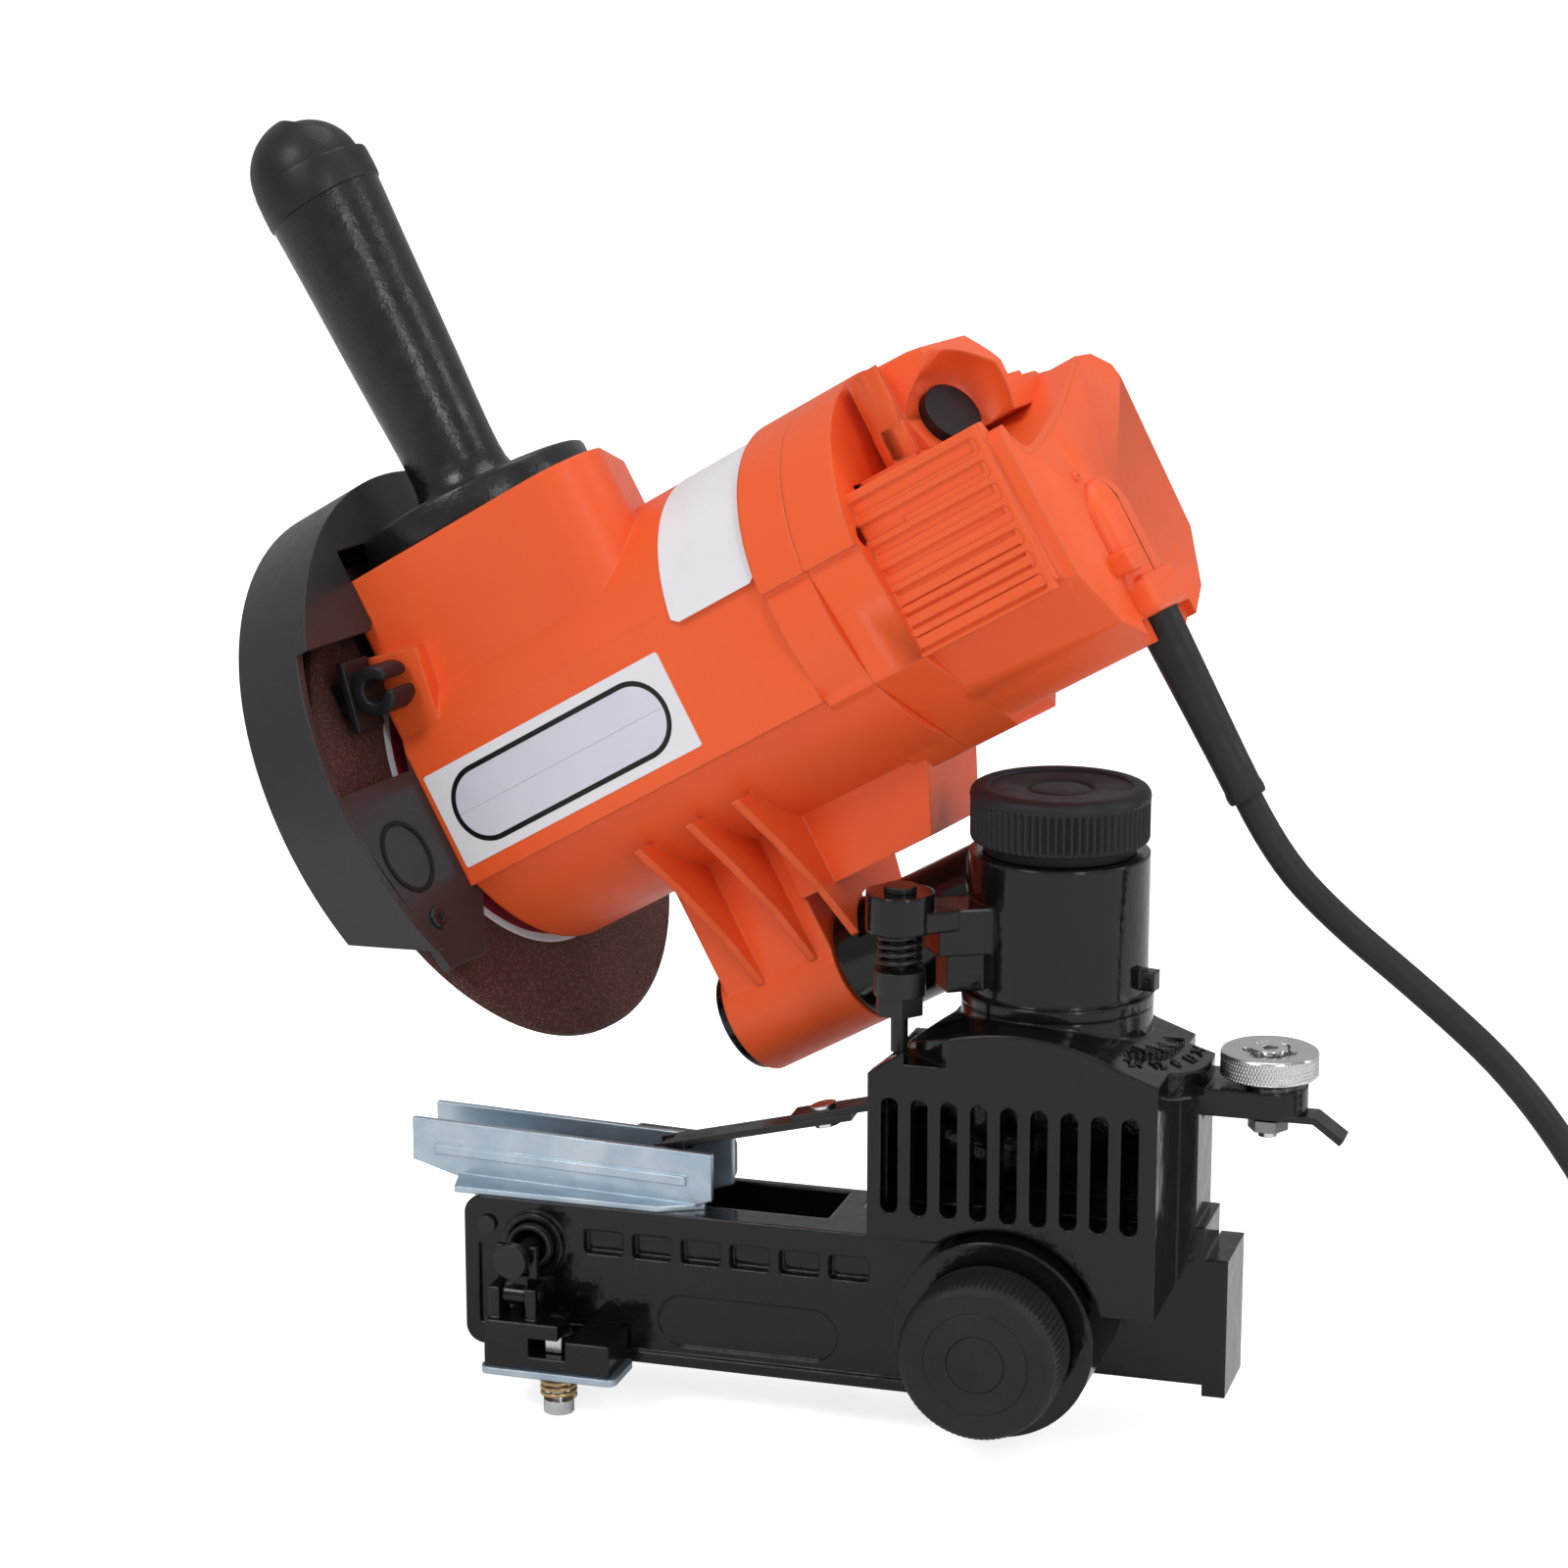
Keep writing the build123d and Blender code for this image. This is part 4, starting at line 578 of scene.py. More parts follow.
# ribs: the radius is drawn in by a cosine of the turn, faded out at both ends of the ribbed band
def knobRipple(s):
    def ripple(turn, radius, height):
        fade = np.clip((height - s["ribLow"]) / s["fade"], 0,
                       1) * np.clip((s["ribHigh"] - height) / s["fade"], 0, 1)
        return -s["ribDepth"] * fade * (0.5 - 0.5 * np.cos(s["ribs"] * turn)) ** 1.5
    return ripple


for which, place, body in (("tilt", hubFront, "tilt_knob"), ("column", column, "column_knob")):
    s = knobSettings[which]
    finished(lathe(which + "KnobGrip", place, s["profile"], s["ribs"] * 8, knobRipple(s)), body,
             "knobPlastic", s["stands"], 40.0)

stopSettings = {"at": (7.5, -1.5, 64.0), "knurls": 44, "knurlDepth": 0.34, "lift": 1.05, "bandLow": 2.7,
                "bandHigh": 7.9, "lobes": 6, "lobeDepth": 0.9}


# diamond knurl: two crossing sets of helical grooves, |sin(n turn + lift height)| and the same the
# other way; lobes on the recess wall
def knurl(turn, radius, height):
    s = stopSettings
    inBand = (radius > 12) & (height > s["bandLow"]) & (height < s["bandHigh"])
    first = np.abs(np.sin(s["knurls"] * turn + s["lift"] * height * np.pi / 2))
    second = np.abs(np.sin(s["knurls"] * turn - s["lift"] * height * np.pi / 2))
    grooves = -s["knurlDepth"] * (1 - np.minimum(first, second))
    lobes = s["lobeDepth"] * np.cos(s["lobes"] * turn)
    return np.where(inBand, grooves, 0) + np.where((radius > 5) & (radius < 6.5) & (height > 3), lobes, 0)


stopProfile = np.vstack([
    [(2.6, 0.05), (6.0, 0.05), (6.0, 1.8), (11.2, 1.8), (12.2, 2.3)],
    np.column_stack([np.full(27, 12.5), np.linspace(2.6, 8.0, 27)]),
    [(12.2, 8.5), (11.6, 8.8), (8.6, 8.8), (7.9, 8.5), (7.0, 8.4), (6.2, 8.0), (5.9, 6.0), (4.6, 5.85)],
])
finished(lathe("stopKnobGrip", turned(stopSettings["at"], 0), stopProfile, 440, knurl), "stop_knob",
         "brightSteel", ["stop_knob"], 30.0)
print("knobs turned")

# ---- handle
handleSettings = {
    "at": 35.5, "disc": 64.0, "steps": 168,
    "grip": [(5.2, 0), (32.8, 0), (33.5, 0.5), (33.6, 1.2), (33.6, 7.9), (33.3, 8.7), (32.6, 9.1),
             (31.8, 9.1), (31.1, 8.7), (30.7, 8.1), (29.6, 7.9), (24.0, 8.2),
             (18.6, 8.7), (16.6, 9.3), (15.1, 10.5), (14.0, 12.2), (13.3, 14.6), (13.0, 18.0),
             (13.0, 24.0), (13.3, 32.0), (14.0, 46.0), (14.7, 64.0), (15.4, 82.0),
             (16.0, 95.0), (16.1, 98.5)],
    "skirt": [(0.0, 14.6), (0.02, 15.9), (0.4, 16.55), (1.2, 16.7), (5.0, 16.75), (9.2, 16.6),
              (9.9, 16.45)],
    "skirtStart": 97.0, "skirtSwing": 1.1, "domeStart": 106.4, "domeRadius": 16.4, "domeRows": 44,
    "step": 1.7,
}
grip = shifted(head, (handleSettings["at"], 0, handleSettings["disc"]))
finished(lathe("handleGrip", grip, handleSettings["grip"], handleSettings["steps"]), "head",
         "handlePlastic", ["handle"], 50.0)


# end cap: a skirt whose lower edge swings up and down once round the handle, and a dome with two
# quarters set in behind a bent step
def capSurface(s):
    turn = np.linspace(0, 2 * np.pi, s["steps"], endpoint=False)[None, :]
    rise = np.array(s["skirt"])[:, :1]
    skirtRadius = np.repeat(np.array(s["skirt"])[:, 1:2], s["steps"], axis=1)
    swing = s["skirtSwing"] * np.cos(turn - 0.6) * (1 - rise / rise.max())
    skirt = np.stack([skirtRadius * np.cos(turn), skirtRadius * np.sin(turn), s["skirtStart"] + rise
                      + swing], axis=-1)
    lift = np.linspace(0, 88, s["domeRows"])[:, None] * np.pi / 180
    x, y = np.cos(lift) * np.cos(turn), np.cos(lift) * np.sin(turn)
    bend = y + 0.28 * np.sin(3.2 * x)
    sunk = 1 / (1 + np.exp(-(bend + 0.12) * 60)) * np.clip((lift - 0.01) / 0.04, 0, 1)
    radius = s["domeRadius"] - s["step"] * sunk
    dome = np.stack([radius * x, radius * y, s["domeStart"] + radius * np.sin(lift)], axis=-1)
    return np.concatenate([skirt, dome])


finished(gridMesh("handleEndCap", grip, capSurface(handleSettings), caps=True), "head", "capPlastic",
         ["handle_cap"], 40.0)
print("handle turned")

# ---- labels, ring and paper disc
labelSettings = {"at": (51.2, 0, -4.6), "width": 81.0, "height": 26.6, "corner": 0.8, "face": 44.5,
                 "thick": 0.3, "ring": (73.0, 21.0), "lineWidth": 1.4, "ringHeight": 0.06}
near = np.column_stack([head[:, 0], head[:, 2], -head[:, 1], inWorld(head, labelSettings["at"])])
s = labelSettings
finished(plate("sideLabel", near, roundedOutline(s["width"], s["height"], s["corner"]), s["face"] - 0.1,
               s["face"] + s["thick"], 0.1), "head", "labelPaper", smooth=0)
ringOutline = roundedOutline(*s["ring"], s["ring"][1] / 2, 24)
labelTop = s["face"] + s["thick"]
finished(band("sideLabelLine", near, ringOutline, s["lineWidth"], labelTop - 0.1, labelTop
              + s["ringHeight"]), "head", "labelInk", smooth=0)
finished(plate("sideLabelPanel", near, inset(ringOutline, s["lineWidth"]), labelTop - 0.1, labelTop
               + 0.03, 0.02), "head", "labelPanel", smooth=0)

wrapSettings = {"from": 100.3, "to": 127.6, "radius": 47.5, "low": 15.0, "high": 101.0, "corner": 2.0,
                "thick": 0.25, "rows": 48, "columns": 5}


# curved label: an arc about the motor's axis, each row shortened near the ends so that the corners
# are round
def wrapSurface(s, lift):
    arc = np.linspace(s["low"], s["high"], s["rows"])
    length = np.radians(arc - s["low"]) * s["radius"]
    toEnd = np.minimum(length, length[-1] - length)
    depth = np.clip(s["corner"] - toEnd, 0, s["corner"])
    short = s["corner"] - np.sqrt(np.clip(s["corner"] ** 2 - depth ** 2, 0, None))
    share = np.linspace(0, 1, s["columns"])[None, :]
    station = (s["from"] + short)[:, None] * (1 - share) + (s["to"] - short)[:, None] * share
    angle = np.radians(arc)[:, None] + 0 * share
    radius = s["radius"] + lift
    return np.stack([station, -radius * np.cos(angle), radius * np.sin(angle)], axis=-1)


outerFace = wrapSurface(wrapSettings, wrapSettings["thick"])
innerFace = wrapSurface(wrapSettings, -0.1)
closedWrap = np.concatenate([outerFace, innerFace[:, ::-1]], axis=1)
finished(gridMesh("wrapLabel", head, closedWrap[:, ::-1], caps=True), "head", "labelPaper", smooth=30.0)

ahead = shifted(head, (8.9, 0, 0), (1, 2, 0))
ringSettings = {"at": (-64.4, -8.7), "radius": 10.0, "width": 1.3, "proud": 0.35,
                "screwAt": (-64.5, -26.6)}
s = ringSettings
finished(band("bracketRing", shifted(ahead, (*s["at"], 0)),
              roundedOutline(2 * s["radius"], 2 * s["radius"], s["radius"] - 0.01, 18), s["width"], -0.1,
              s["proud"]),
         "head", "ringPlastic", smooth=30.0)
screwProfile = [(0.3, -1.0), (3.1, -1.0), (3.1, 0.5), (2.7, 1.0), (1.2, 1.15), (1.1, 0.4), (0.3, 0.4)]
finished(lathe("bracketScrew", shifted(ahead, (*s["screwAt"], 0)), screwProfile, 40), "head",
         "blackSteel")

spin = shifted(head, (0, 0, 0), (1, 2, 0))
paperSettings = {"inner": 24.0, "outer": 46.4, "face": 2.2, "thick": 0.2, "red": (39.0, 44.0)}
s = paperSettings
paperTop = s["face"] + s["thick"]
paperProfile = [(s["inner"], s["face"]), (s["outer"], s["face"]), (s["outer"], paperTop),
                (s["inner"], paperTop)]
finished(lathe("wheelPaper", spin, paperProfile, 160, ring=True), "rotor", "labelPaper", smooth=30.0)
redProfile = [(s["red"][0], s["face"]), (s["red"][1], s["face"]), (s["red"][1], paperTop + 0.04),
              (s["red"][0], paperTop + 0.04)]
finished(lathe("wheelPaperBand", spin, redProfile, 160, ring=True), "rotor", "labelRed", smooth=30.0)
print("labels laid")

# ---- strain relief, guard clip, scale figures and rear ribs
sleeveStation = 200.0
sleeveProfile = [(3.75, -91.4), (4.6, -91.3), (5.0, -90.6), (5.1, -89.4), (5.0, -88.2), (4.85, -87.6),
                 (4.9, -80.0), (5.15, -68.0), (5.45, -55.0), (5.7, -44.0),
                 (5.85, -40.0), (5.85, -38.1), (3.75, -38.0)]
finished(lathe("strainRelief", shifted(head, (sleeveStation, 0, 0)), sleeveProfile, 72), "head",
         "blackRubber", ["cord_sleeve"], 50.0)

clipSettings = {"at": (16.2, 34.0), "outer": 6.6, "inner": 3.1, "mouth": (44, 314), "near": 55.6,
                "far": 45.0, "steps": 34, "lean": -14,
                "backAt": (-7.8, -0.5, 0), "back": (2.2, 19.0, 0.8), "stemAt": (-12.5, -1.0, 0),
                "stem": (9.6, 9.0, 2.0)}


# open ring: the outer arc one way round and the inner arc back, with half circles at the two finger tips
def clipOutline(s):
    start, end = np.radians(s["mouth"])
    turn = np.linspace(start, end, s["steps"])
    middle, half = (s["outer"] + s["inner"]) / 2, (s["outer"] - s["inner"]) / 2
    tip = np.linspace(0, np.pi, 8)[1:-1]
    outer = s["outer"] * np.column_stack([np.cos(turn), np.sin(turn)])
    inner = s["inner"] * np.column_stack([np.cos(turn[::-1]), np.sin(turn[::-1])])
    ends = []
    for angle, way in ((end, 1), (start, -1)):
        along = np.array([np.cos(angle), np.sin(angle)])
        beyond = way * np.array([-np.sin(angle), np.cos(angle)])
        lean = np.cos(tip)[:, None] if way > 0 else -np.cos(tip)[:, None]
        ends.append(along * middle + half * (lean * along + np.sin(tip)[:, None] * beyond * 1.3))
    return np.concatenate([outer, ends[0], inner, ends[1]])


s = clipSettings
clipPlace = np.column_stack([head[:, 0], head[:, 2], -head[:, 1],
    inWorld(head, (s["at"][0], 0, s["at"][1]))])
finished(plate("clipRing", clipPlace, clipOutline(s), s["far"], s["near"], 0.7, 0.3), "head",
         "blackPlastic", ["guard_clip"])
lean = np.radians(s["lean"])
clipBack = np.column_stack([clipPlace[:, 0] * np.cos(lean) + clipPlace[:, 1] * np.sin(lean),
                            -clipPlace[:, 0] * np.sin(lean) + clipPlace[:, 1] * np.cos(lean),
                            clipPlace[:, 2], clipPlace[:, 3]])
finished(plate("clipPlate", shifted(clipBack, s["backAt"]), roundedOutline(*s["back"]), s["far"] - 1,
               s["near"] + 0.8, 0.4, 0.3), "head", "blackPlastic", ["guard_clip"])
finished(plate("clipStem", shifted(clipBack, s["stemAt"]), roundedOutline(*s["stem"]), s["far"] + 1,
               s["near"] - 3, 0.6, 0.6), "head", "blackPlastic", ["guard_clip"])

ribSettings = {"at": (179.2, 42, -0.75), "corner": 0.9, "low": -6.0, "count": 8, "pitch": 5.6,
               "length": 43.0, "width": 2.2, "proud": 1.3}
s = ribSettings
farSide = np.column_stack([head[:, 0], -head[:, 2], head[:, 1], inWorld(head, s["at"])])
for k in range(s["count"]):
    away = (k - (s["count"] - 1) / 2) * s["pitch"]
    ribPlace = shifted(farSide, (0, away, 0))
    finished(plate("farRib" + str(k), ribPlace, roundedOutline(s["length"], s["width"], s["corner"], 5),
                   s["low"], s["proud"], 0.7), "head", "orangeShell")

# ---- rear cover: a copy of the solid with the switch well opened, then the valley, air grooves and
# cord duct on it
coverSettings = {
    "end": 203.0, "panelTop": 20.3, "wellRim": (172.7, -22.9), "sight": (0.424, -0.902), "blockTop": 28.8,
    "ductFoot": -39.8,
    # across the head: height of the valley between the side panel and the rear block
    "valley": [(-37.0, 15.5), (-35.0, 12.0), (-32.0, 10.3), (-28.0, 10.5), (-19.4, 12.6), (-4.6, 17.2),
               (7.0, 22.4), (18.0, 27.6), (20.5, 28.6)],
    "valleyFrom": 175.0, "wellEnd": 193.0, "sheet": 2.0, "cut": 0.3,
    "collarAt": (178.0, -11.0), "collarRadius": 19.2, "roof": 22.1, "slabFrom": 158.0, "slabEdge": -30.2,
    "faceCut": 41.0,
    "roofFrom": 187.0, "roofEdge": 8.2, "ductHalf": 16, "ductFrom": 200.2, "footFrom": 180.0,
    "footHalf": 20, "foot": -46.05,
}


# prism over an outline, as a body for cutting
def cutter(place, outline, low, high):
    return gridMesh("cutter", place,
                    stacked([(np.array(outline, float), low), (np.array(outline, float), high)]),
                    caps=True)


# copy of a solid with its corners merged, cut by each body in turn
def carved(name, source, bodies):
    mesh = nodes[source].data.copy()
    mesh.name = name
    edited = bmesh.new()
    edited.from_mesh(mesh)
    bmesh.ops.remove_doubles(edited, verts=edited.verts, dist=1e-6)
    edited.to_mesh(mesh)
    edited.free()
    piece = bpy.data.objects.new(name, mesh)
    piece.matrix_world = nodes[source].matrix_world.copy()
    bpy.context.scene.collection.objects.link(piece)
    for body in bodies:
        cut = piece.modifiers.new("cut", "BOOLEAN")
        cut.operation, cut.solver, cut.object = "DIFFERENCE", "EXACT", body
    bpy.context.view_layer.update()
    piece.data = bpy.data.meshes.new_from_object(piece.evaluated_get(bpy.context.evaluated_depsgraph_get()))
    piece.modifiers.clear()
    for body in bodies:
        bpy.data.objects.remove(body)
    piece.data.materials.clear()
    return piece


# corners of a rectangle, counter-clockwise
def box(lowX, highX, lowY, highY):
    return [(lowX, lowY), (highX, lowY), (highX, highY), (lowX, highY)]


s = coverSettings
reach, top, far, beyond = 45.0, 60.0, 60.0, coverSettings["end"] + 4
sightEnd = (s["wellRim"][0] + 40 * s["sight"][0], s["wellRim"][1] + 40 * s["sight"][1])
endFace = shifted(head, (0, 0, 0), (1, 2, 0))
nearZero = np.column_stack([head[:, 0], head[:, 2], -head[:, 1], head[:, 3]])
valleyCut = [(y, h - s["cut"]) for y, h in s["valley"]]
aboveValley = [(-far, s["panelTop"]), (-39.5, s["panelTop"])] + valleyCut + [(30.0, s["blockTop"] - 1.0),
    (reach, 21.0), (reach, top), (-far, top)]
openWell = [s["wellRim"], sightEnd, (beyond, -far), (beyond, -5.0), (s["wellEnd"] - 3.0, -5.0),
            (184.0, -19.0)]
arc = np.radians(np.linspace(265, 180, 14))
collarX, collarY = s["collarAt"]
collarEdge = [(collarX + s["collarRadius"] * np.cos(t), collarY + s["collarRadius"]
               * np.sin(t)) for t in arc]
besideCollar = [(s["slabFrom"], s["slabEdge"] - 0.1)] + collarEdge + [(s["slabFrom"], collarY)]
coverCuts = [
    cutter(endFace, aboveValley, s["wellEnd"], beyond),
    cutter(head, openWell, s["panelTop"], top),
    cutter(head, box(s["slabFrom"], beyond, -far, s["slabEdge"]), s["panelTop"], top),
    cutter(head, besideCollar, s["roof"], top),
    cutter(nearZero, box(s["slabFrom"], beyond, -24.0, s["panelTop"]), s["faceCut"], far),
    cutter(head, box(s["footFrom"], beyond + 5, -s["footHalf"], s["footHalf"]), -far, s["foot"]),
    cutter(head, box(s["roofFrom"], beyond, s["roofEdge"], far), s["blockTop"], top),
    cutter(head, box(s["ductFrom"], beyond + 5, -s["ductHalf"], s["ductHalf"]), -far, s["ductFoot"]),
    cutter(head, box(s["end"] + 0.02, beyond + 5, -s["footHalf"], s["footHalf"]), -far, far),
]
finished(carved("coverShell", "rear_cover", coverCuts), "head", "orangeShell", ["rear_cover"], 18.0)


# sheet over rows (across, height): the same line at every station from start to end, closed by its
# own lower face
def sheetOver(name, line, start, end, thick):
    y, h = np.array(line, float).T[:2]
    corners = [(start, 0), (end, 0), (end, -thick), (start, -thick)]
    return gridMesh(name, head,
                    np.stack([np.column_stack([np.full(len(y), x), y, h + lift]) for x, lift in corners],
                        axis=1), caps=True)


fineY = np.linspace(s["valley"][0][0], s["valley"][-1][0], 60)
coarse = np.interp(fineY, *np.array(s["valley"]).T)
smoothed = np.convolve(np.pad(coarse, 2, mode="edge"), np.ones(5) / 5, mode="valid")
finished(sheetOver("coverValley", np.column_stack([fineY, smoothed]), s["valleyFrom"], s["end"] + 0.05,
                   s["sheet"]), "head", "orangeShell", ["rear_cover"], 40.0)
ledge = [(-41.6, s["panelTop"] - 0.05), (-30.5, s["panelTop"] - 0.05), (-30.2, 22.2), (-11.0, 22.2)]
finished(sheetOver("coverLedge", ledge, 157.0, s["valleyFrom"] + 0.2, s["sheet"]), "head", "orangeShell",
         ["rear_cover"], 30.0)

ventSettings = {"from": 157.5, "to": 198.6, "low": -24.2, "high": 20.3, "count": 7, "pitch": 6.1,
                "middle": -2.6, "slotEnd": 196.4, "halfHeight": 2.05,
                "corner": 1.3, "deep": 1.2, "edge": 0.5, "back": 40.6, "face": 42.5, "rows": 240,
                "columns": 90}


# air grooves: the face sinks inside round-ended slots; d is the distance outside a rounded rectangle
def ventSurface(s):
    x = np.linspace(s["from"], s["to"], s["columns"])[None, :]
    y = np.linspace(s["low"], s["high"], s["rows"])[:, None]
    nearest = np.clip(np.round((y - s["middle"]) / s["pitch"]), -(s["count"] // 2),
                      s["count"] // 2) * s["pitch"] + s["middle"]
    overX = np.maximum(x - (s["slotEnd"] - s["corner"]), 0)
    overY = np.maximum(np.abs(y - nearest) - (s["halfHeight"] - s["corner"]), 0)
    d = np.hypot(overX, overY) - s["corner"]
    rim = np.minimum(np.minimum(y - s["low"], s["high"] - y), s["to"] - x)
    height = s["face"] - s["deep"] * np.clip(0.5 - d / s["edge"], 0, 1) - 0.6 * np.clip(1 - rim / 0.8, 0,
        1) ** 2
    front = np.stack([x + 0 * y, y + 0 * x, height], axis=-1)
    last = y[:, 0]
    back = [np.column_stack([np.full(len(last), station), last,
        np.full(len(last), s["back"])]) for station in (s["to"], s["from"])]
    return np.concatenate([front, np.stack(back, axis=1)], axis=1)


finished(gridMesh("ventPanel", nearZero, ventSurface(ventSettings), caps=True), "head", "orangeShell",
         ["rear_cover"], 40.0)

ductSettings = {"at": (-5.5, -20.6), "size": (21.0, 36.0), "proud": 4.6, "clipAt": (-14.5, -25.0),
                "clip": (8.0, 6.0, 5.6), "nubAt": (-13.5, -0.8),
                "box": (-5.0, -34.6, 20.0, 10.2, 5.4)}


# dome over an outline: the outline drawn in by r (1 - cos t) while it rises by proud * sin t
def dome(name, place, outline, radius, proud):
    rows = [(outline, -1.0)] + [(inset(outline, radius * (1 - np.cos(t))), proud
        * np.sin(t)) for t in np.radians(np.arange(0, 80, 8))]
    return gridMesh(name, place, stacked(rows), caps=True)


s = ductSettings
onEnd = shifted(head, (coverSettings["end"], 0, 0), (1, 2, 0))
finished(dome("cordDuct", shifted(onEnd, (*s["at"], 0)),
              roundedOutline(*s["size"], s["size"][0] / 2 - 0.01, 18), s["size"][0] / 2, s["proud"]),
              "head", "orangeShell",
         ["rear_cover"], 50.0)
finished(plate("ductClip", shifted(onEnd, (*s["clipAt"], 0)), roundedOutline(*s["clip"][:2], 1.2), -1,
               s["clip"][2], 1.0), "head", "orangeShell", ["rear_cover"], 40.0)
finished(plate("ductFoot", shifted(onEnd, (*s["box"][:2], 0)), roundedOutline(*s["box"][2:4], 2.4), -1,
               s["box"][4], 2.0), "head", "orangeShell", ["rear_cover"], 40.0)
finished(dome("ductNub", shifted(onEnd, (*s["nubAt"], 0)), roundedOutline(2.8, 2.8, 1.39, 8), 1.4, 1.2),
         "head", "orangeShell", ["rear_cover"], 50.0)

# hood: the wall behind the open slots on its left, and the adjusting spring's wire
hoodSettings = {"x": (-87.5, -66.0), "z": (27.0, 66.0), "y": (3.5, 8.5)}
s = hoodSettings
hoodMiddle = ((s["x"][0] + s["x"][1]) / 2, 0, (s["z"][0] + s["z"][1]) / 2)
hoodPlace = np.column_stack([world[:, 0], world[:, 2], -world[:, 1], inWorld(world, hoodMiddle)])
hoodOutline = roundedOutline(s["x"][1] - s["x"][0], s["z"][1] - s["z"][0], 1.0)
finished(plate("hoodBackWall", hoodPlace, hoodOutline, -s["y"][1], -s["y"][0], 0.5), "base", "blackPaint")


# wire helix: a small circle of the wire carried round the axis while it rises
def helix(name, place, radius, wire, low, high, turns):
    turn = np.linspace(0, 2 * np.pi * turns, int(turns * 40) + 1)[:, None]
    around = np.linspace(0, 2 * np.pi, 10, endpoint=False)[None, :]
    out = radius + wire * np.cos(around)
    rise = low + (high - low) * turn / turn[-1, 0] + wire * np.sin(around)
    return gridMesh(name, place,
                    np.stack([out * np.cos(turn), out * np.sin(turn), rise], axis=-1)[:, ::-1], caps=True)


adjustSettings = {"at": (-170.0, -42.0, 0), "radius": 4.3, "wire": 0.6, "low": -25.2, "high": -18.6,
                  "turns": 4.25}
s = adjustSettings
finished(helix("adjustSpringWire", turned(s["at"], 0), s["radius"], s["wire"], s["low"], s["high"],
               s["turns"]), "arm", "brassWire", ["adjust_spring"], 40.0)
print("rear cover carved")

figureSettings = {"centre": (-47.0, -4.5), "radius": 36.6, "size": 4.6, "proud": 0.55, "extrude": 0.45,
                  "eaves": (75.6, -23.3, 0.365),
                  "figures": {"24": -46, "12": -34, "0": -22, "12b": -10, "24b": 2}}
s = figureSettings
for label, angle in s["figures"].items():
    letters = bpy.data.curves.new("figure" + label, "FONT")
    letters.body = label.rstrip("b")
    letters.size = s["size"]
    letters.align_x, letters.align_y = "CENTER", "CENTER"
    letters.extrude = s["extrude"]
    letters.resolution_u = 3
    source = bpy.data.objects.new("figureSource", letters)
    bpy.context.scene.collection.objects.link(source)
    mesh = bpy.data.meshes.new_from_object(source)
    bpy.data.objects.remove(source)
    flat = np.zeros(len(mesh.vertices) * 3)
    mesh.vertices.foreach_get("co", flat)
    a = np.radians(angle)
    out, side = np.array([np.cos(a), np.sin(a), 0]), np.array([-np.sin(a), np.cos(a), 0])
    local = flat.reshape(-1, 3)
    ground = np.array([*s["centre"], 0]) + s["radius"] * out + local[:, :1] * side - local[:, 1:2] * out
    height = s["eaves"][0] - np.clip(ground[:, 0] - s["eaves"][1], 0, None) * s["eaves"][2] + local[:,
        2] + s["proud"] - s["extrude"]
    spots = np.column_stack([ground[:, :2], height])
    mesh.vertices.foreach_set("co", (spots * mm).ravel())
    mesh.materials.clear()
    mesh.update()
    figure = bpy.data.objects.new("scaleFigure" + label, mesh)
    bpy.context.scene.collection.objects.link(figure)
    finished(figure, "base", "blackPaint", smooth=30.0)
print("small pieces placed")


# ---- floor, backdrop and lamps
floorSettings = {"level": -0.0297, "half": 20.0, "colour": (0.86, 0.86, 0.87, 1), "seenGlow": 0.74,
                 "glossyGlow": 0.08}
corner = floorSettings["half"]
floorMesh = bpy.data.meshes.new("floor")
floorCorners = [(x, y, floorSettings["level"]) for x, y in box(-corner, corner, -corner, corner)]
floorMesh.from_pydata(floorCorners, [], [(0, 1, 2, 3)])
floor = bpy.data.objects.new("floor", floorMesh)
bpy.context.scene.collection.objects.link(floor)
floorMaterial = bpy.data.materials.new("paleFloor")
floorMaterial.use_nodes = True
tree = floorMaterial.node_tree
tree.nodes["Principled BSDF"].inputs["Base Color"].default_value = floorSettings["colour"]
tree.nodes["Principled BSDF"].inputs["Roughness"].default_value = 0.9
tree.nodes["Principled BSDF"].inputs["Emission Color"].default_value = (1, 1, 1, 1)
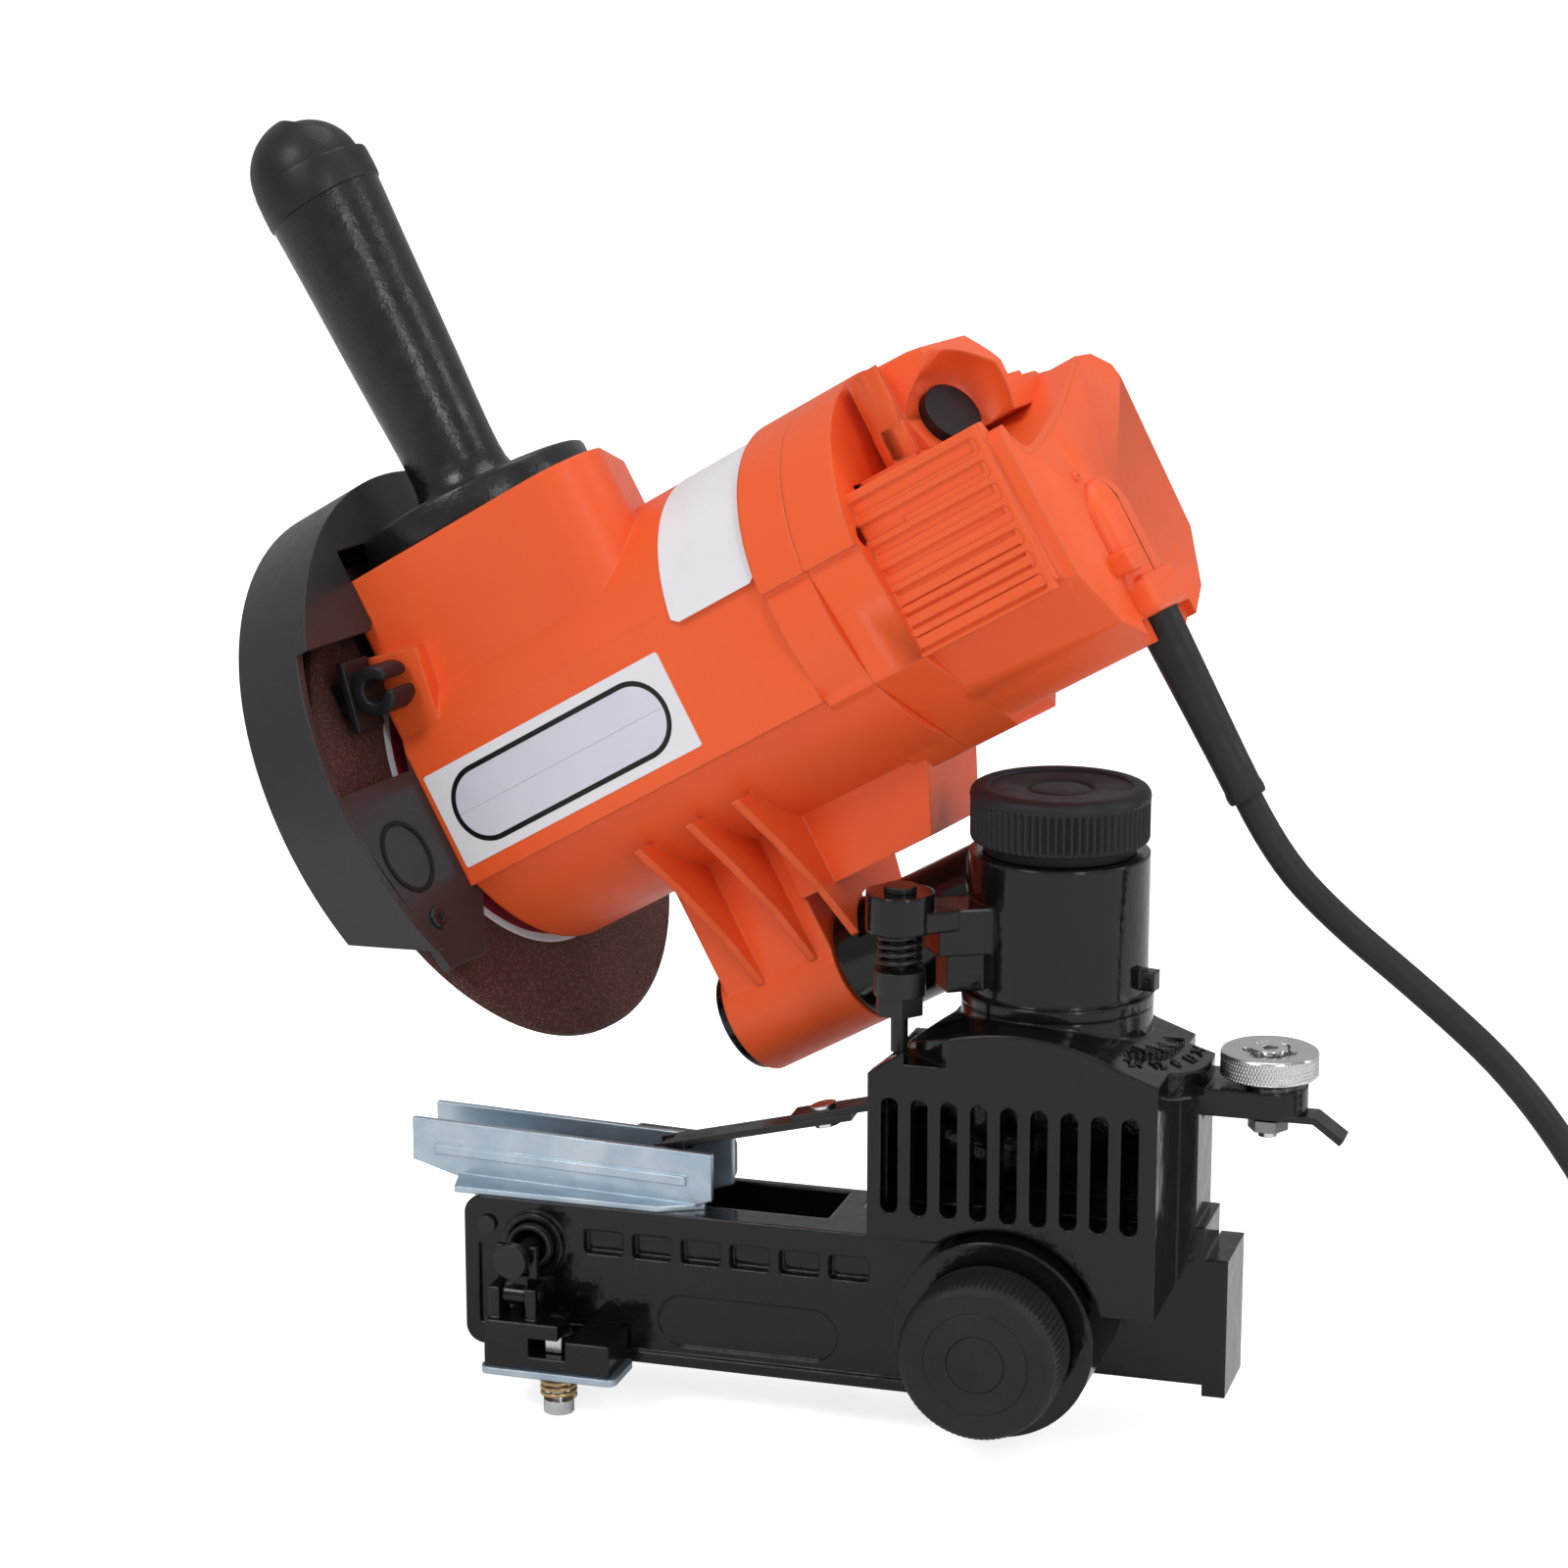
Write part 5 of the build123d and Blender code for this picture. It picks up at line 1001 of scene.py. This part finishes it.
seen = put(tree, "LightPath")
shade = put(tree, "Math", {0: seen.outputs["Is Camera Ray"], 1: floorSettings["seenGlow"]},
            operation="MULTIPLY")
glow = put(tree, "Math", {0: seen.outputs["Is Glossy Ray"], 1: floorSettings["glossyGlow"],
                          2: shade.outputs[0]}, operation="MULTIPLY_ADD")
tree.links.new(glow.outputs[0], tree.nodes["Principled BSDF"].inputs["Emission Strength"])
floorMesh.materials.append(floorMaterial)

worldSettings = {"light": 0.47, "shown": 1.0}
worldData = bpy.data.worlds.new("studio")
bpy.context.scene.world = worldData
worldData.use_nodes = True
tree = worldData.node_tree
seen = put(tree, "LightPath")
shown = put(tree, "Math", {0: seen.outputs["Is Camera Ray"], 1: seen.outputs["Is Transmission Ray"]},
            operation="MAXIMUM")
back = tree.nodes["Background"]
back.inputs["Color"].default_value = (1, 1, 1, 1)
tree.links.new(put(tree, "MapRange",
                   {"Value": shown.outputs[0], "To Min": worldSettings["light"],
                    "To Max": worldSettings["shown"]}).outputs[0], back.inputs["Strength"])

lampTarget = (-0.11, 0.0, 0.1)
lampSettings = [
    {"name": "keySoftbox", "at": (-0.75, -1.1, 1.25), "size": (0.55, 0.55), "power": 8.6},
    {"name": "frontStrip", "at": (0.85, -1.15, 0.75), "size": (0.22, 1.0), "power": 6},
    {"name": "topSoftbox", "at": (0.05, 0.25, 1.5), "size": (1.1, 0.7), "power": 6.6},
    {"name": "sideStrip", "at": (1.1, 0.3, 0.6), "size": (0.3, 1.1), "power": 4},
]
for lamp in lampSettings:
    data = bpy.data.lights.new(lamp["name"], "AREA")
    data.shape = "RECTANGLE"
    data.size, data.size_y = lamp["size"]
    data.energy = lamp["power"]
    item = bpy.data.objects.new(lamp["name"], data)
    item.location = lamp["at"]
    item.rotation_euler = (Vector(lampTarget) - Vector(lamp["at"])).to_track_quat("-Z", "Y").to_euler()
    bpy.context.scene.collection.objects.link(item)
bpy.context.scene.view_settings.view_transform = "Standard"
print("camera, floor and lamps placed")
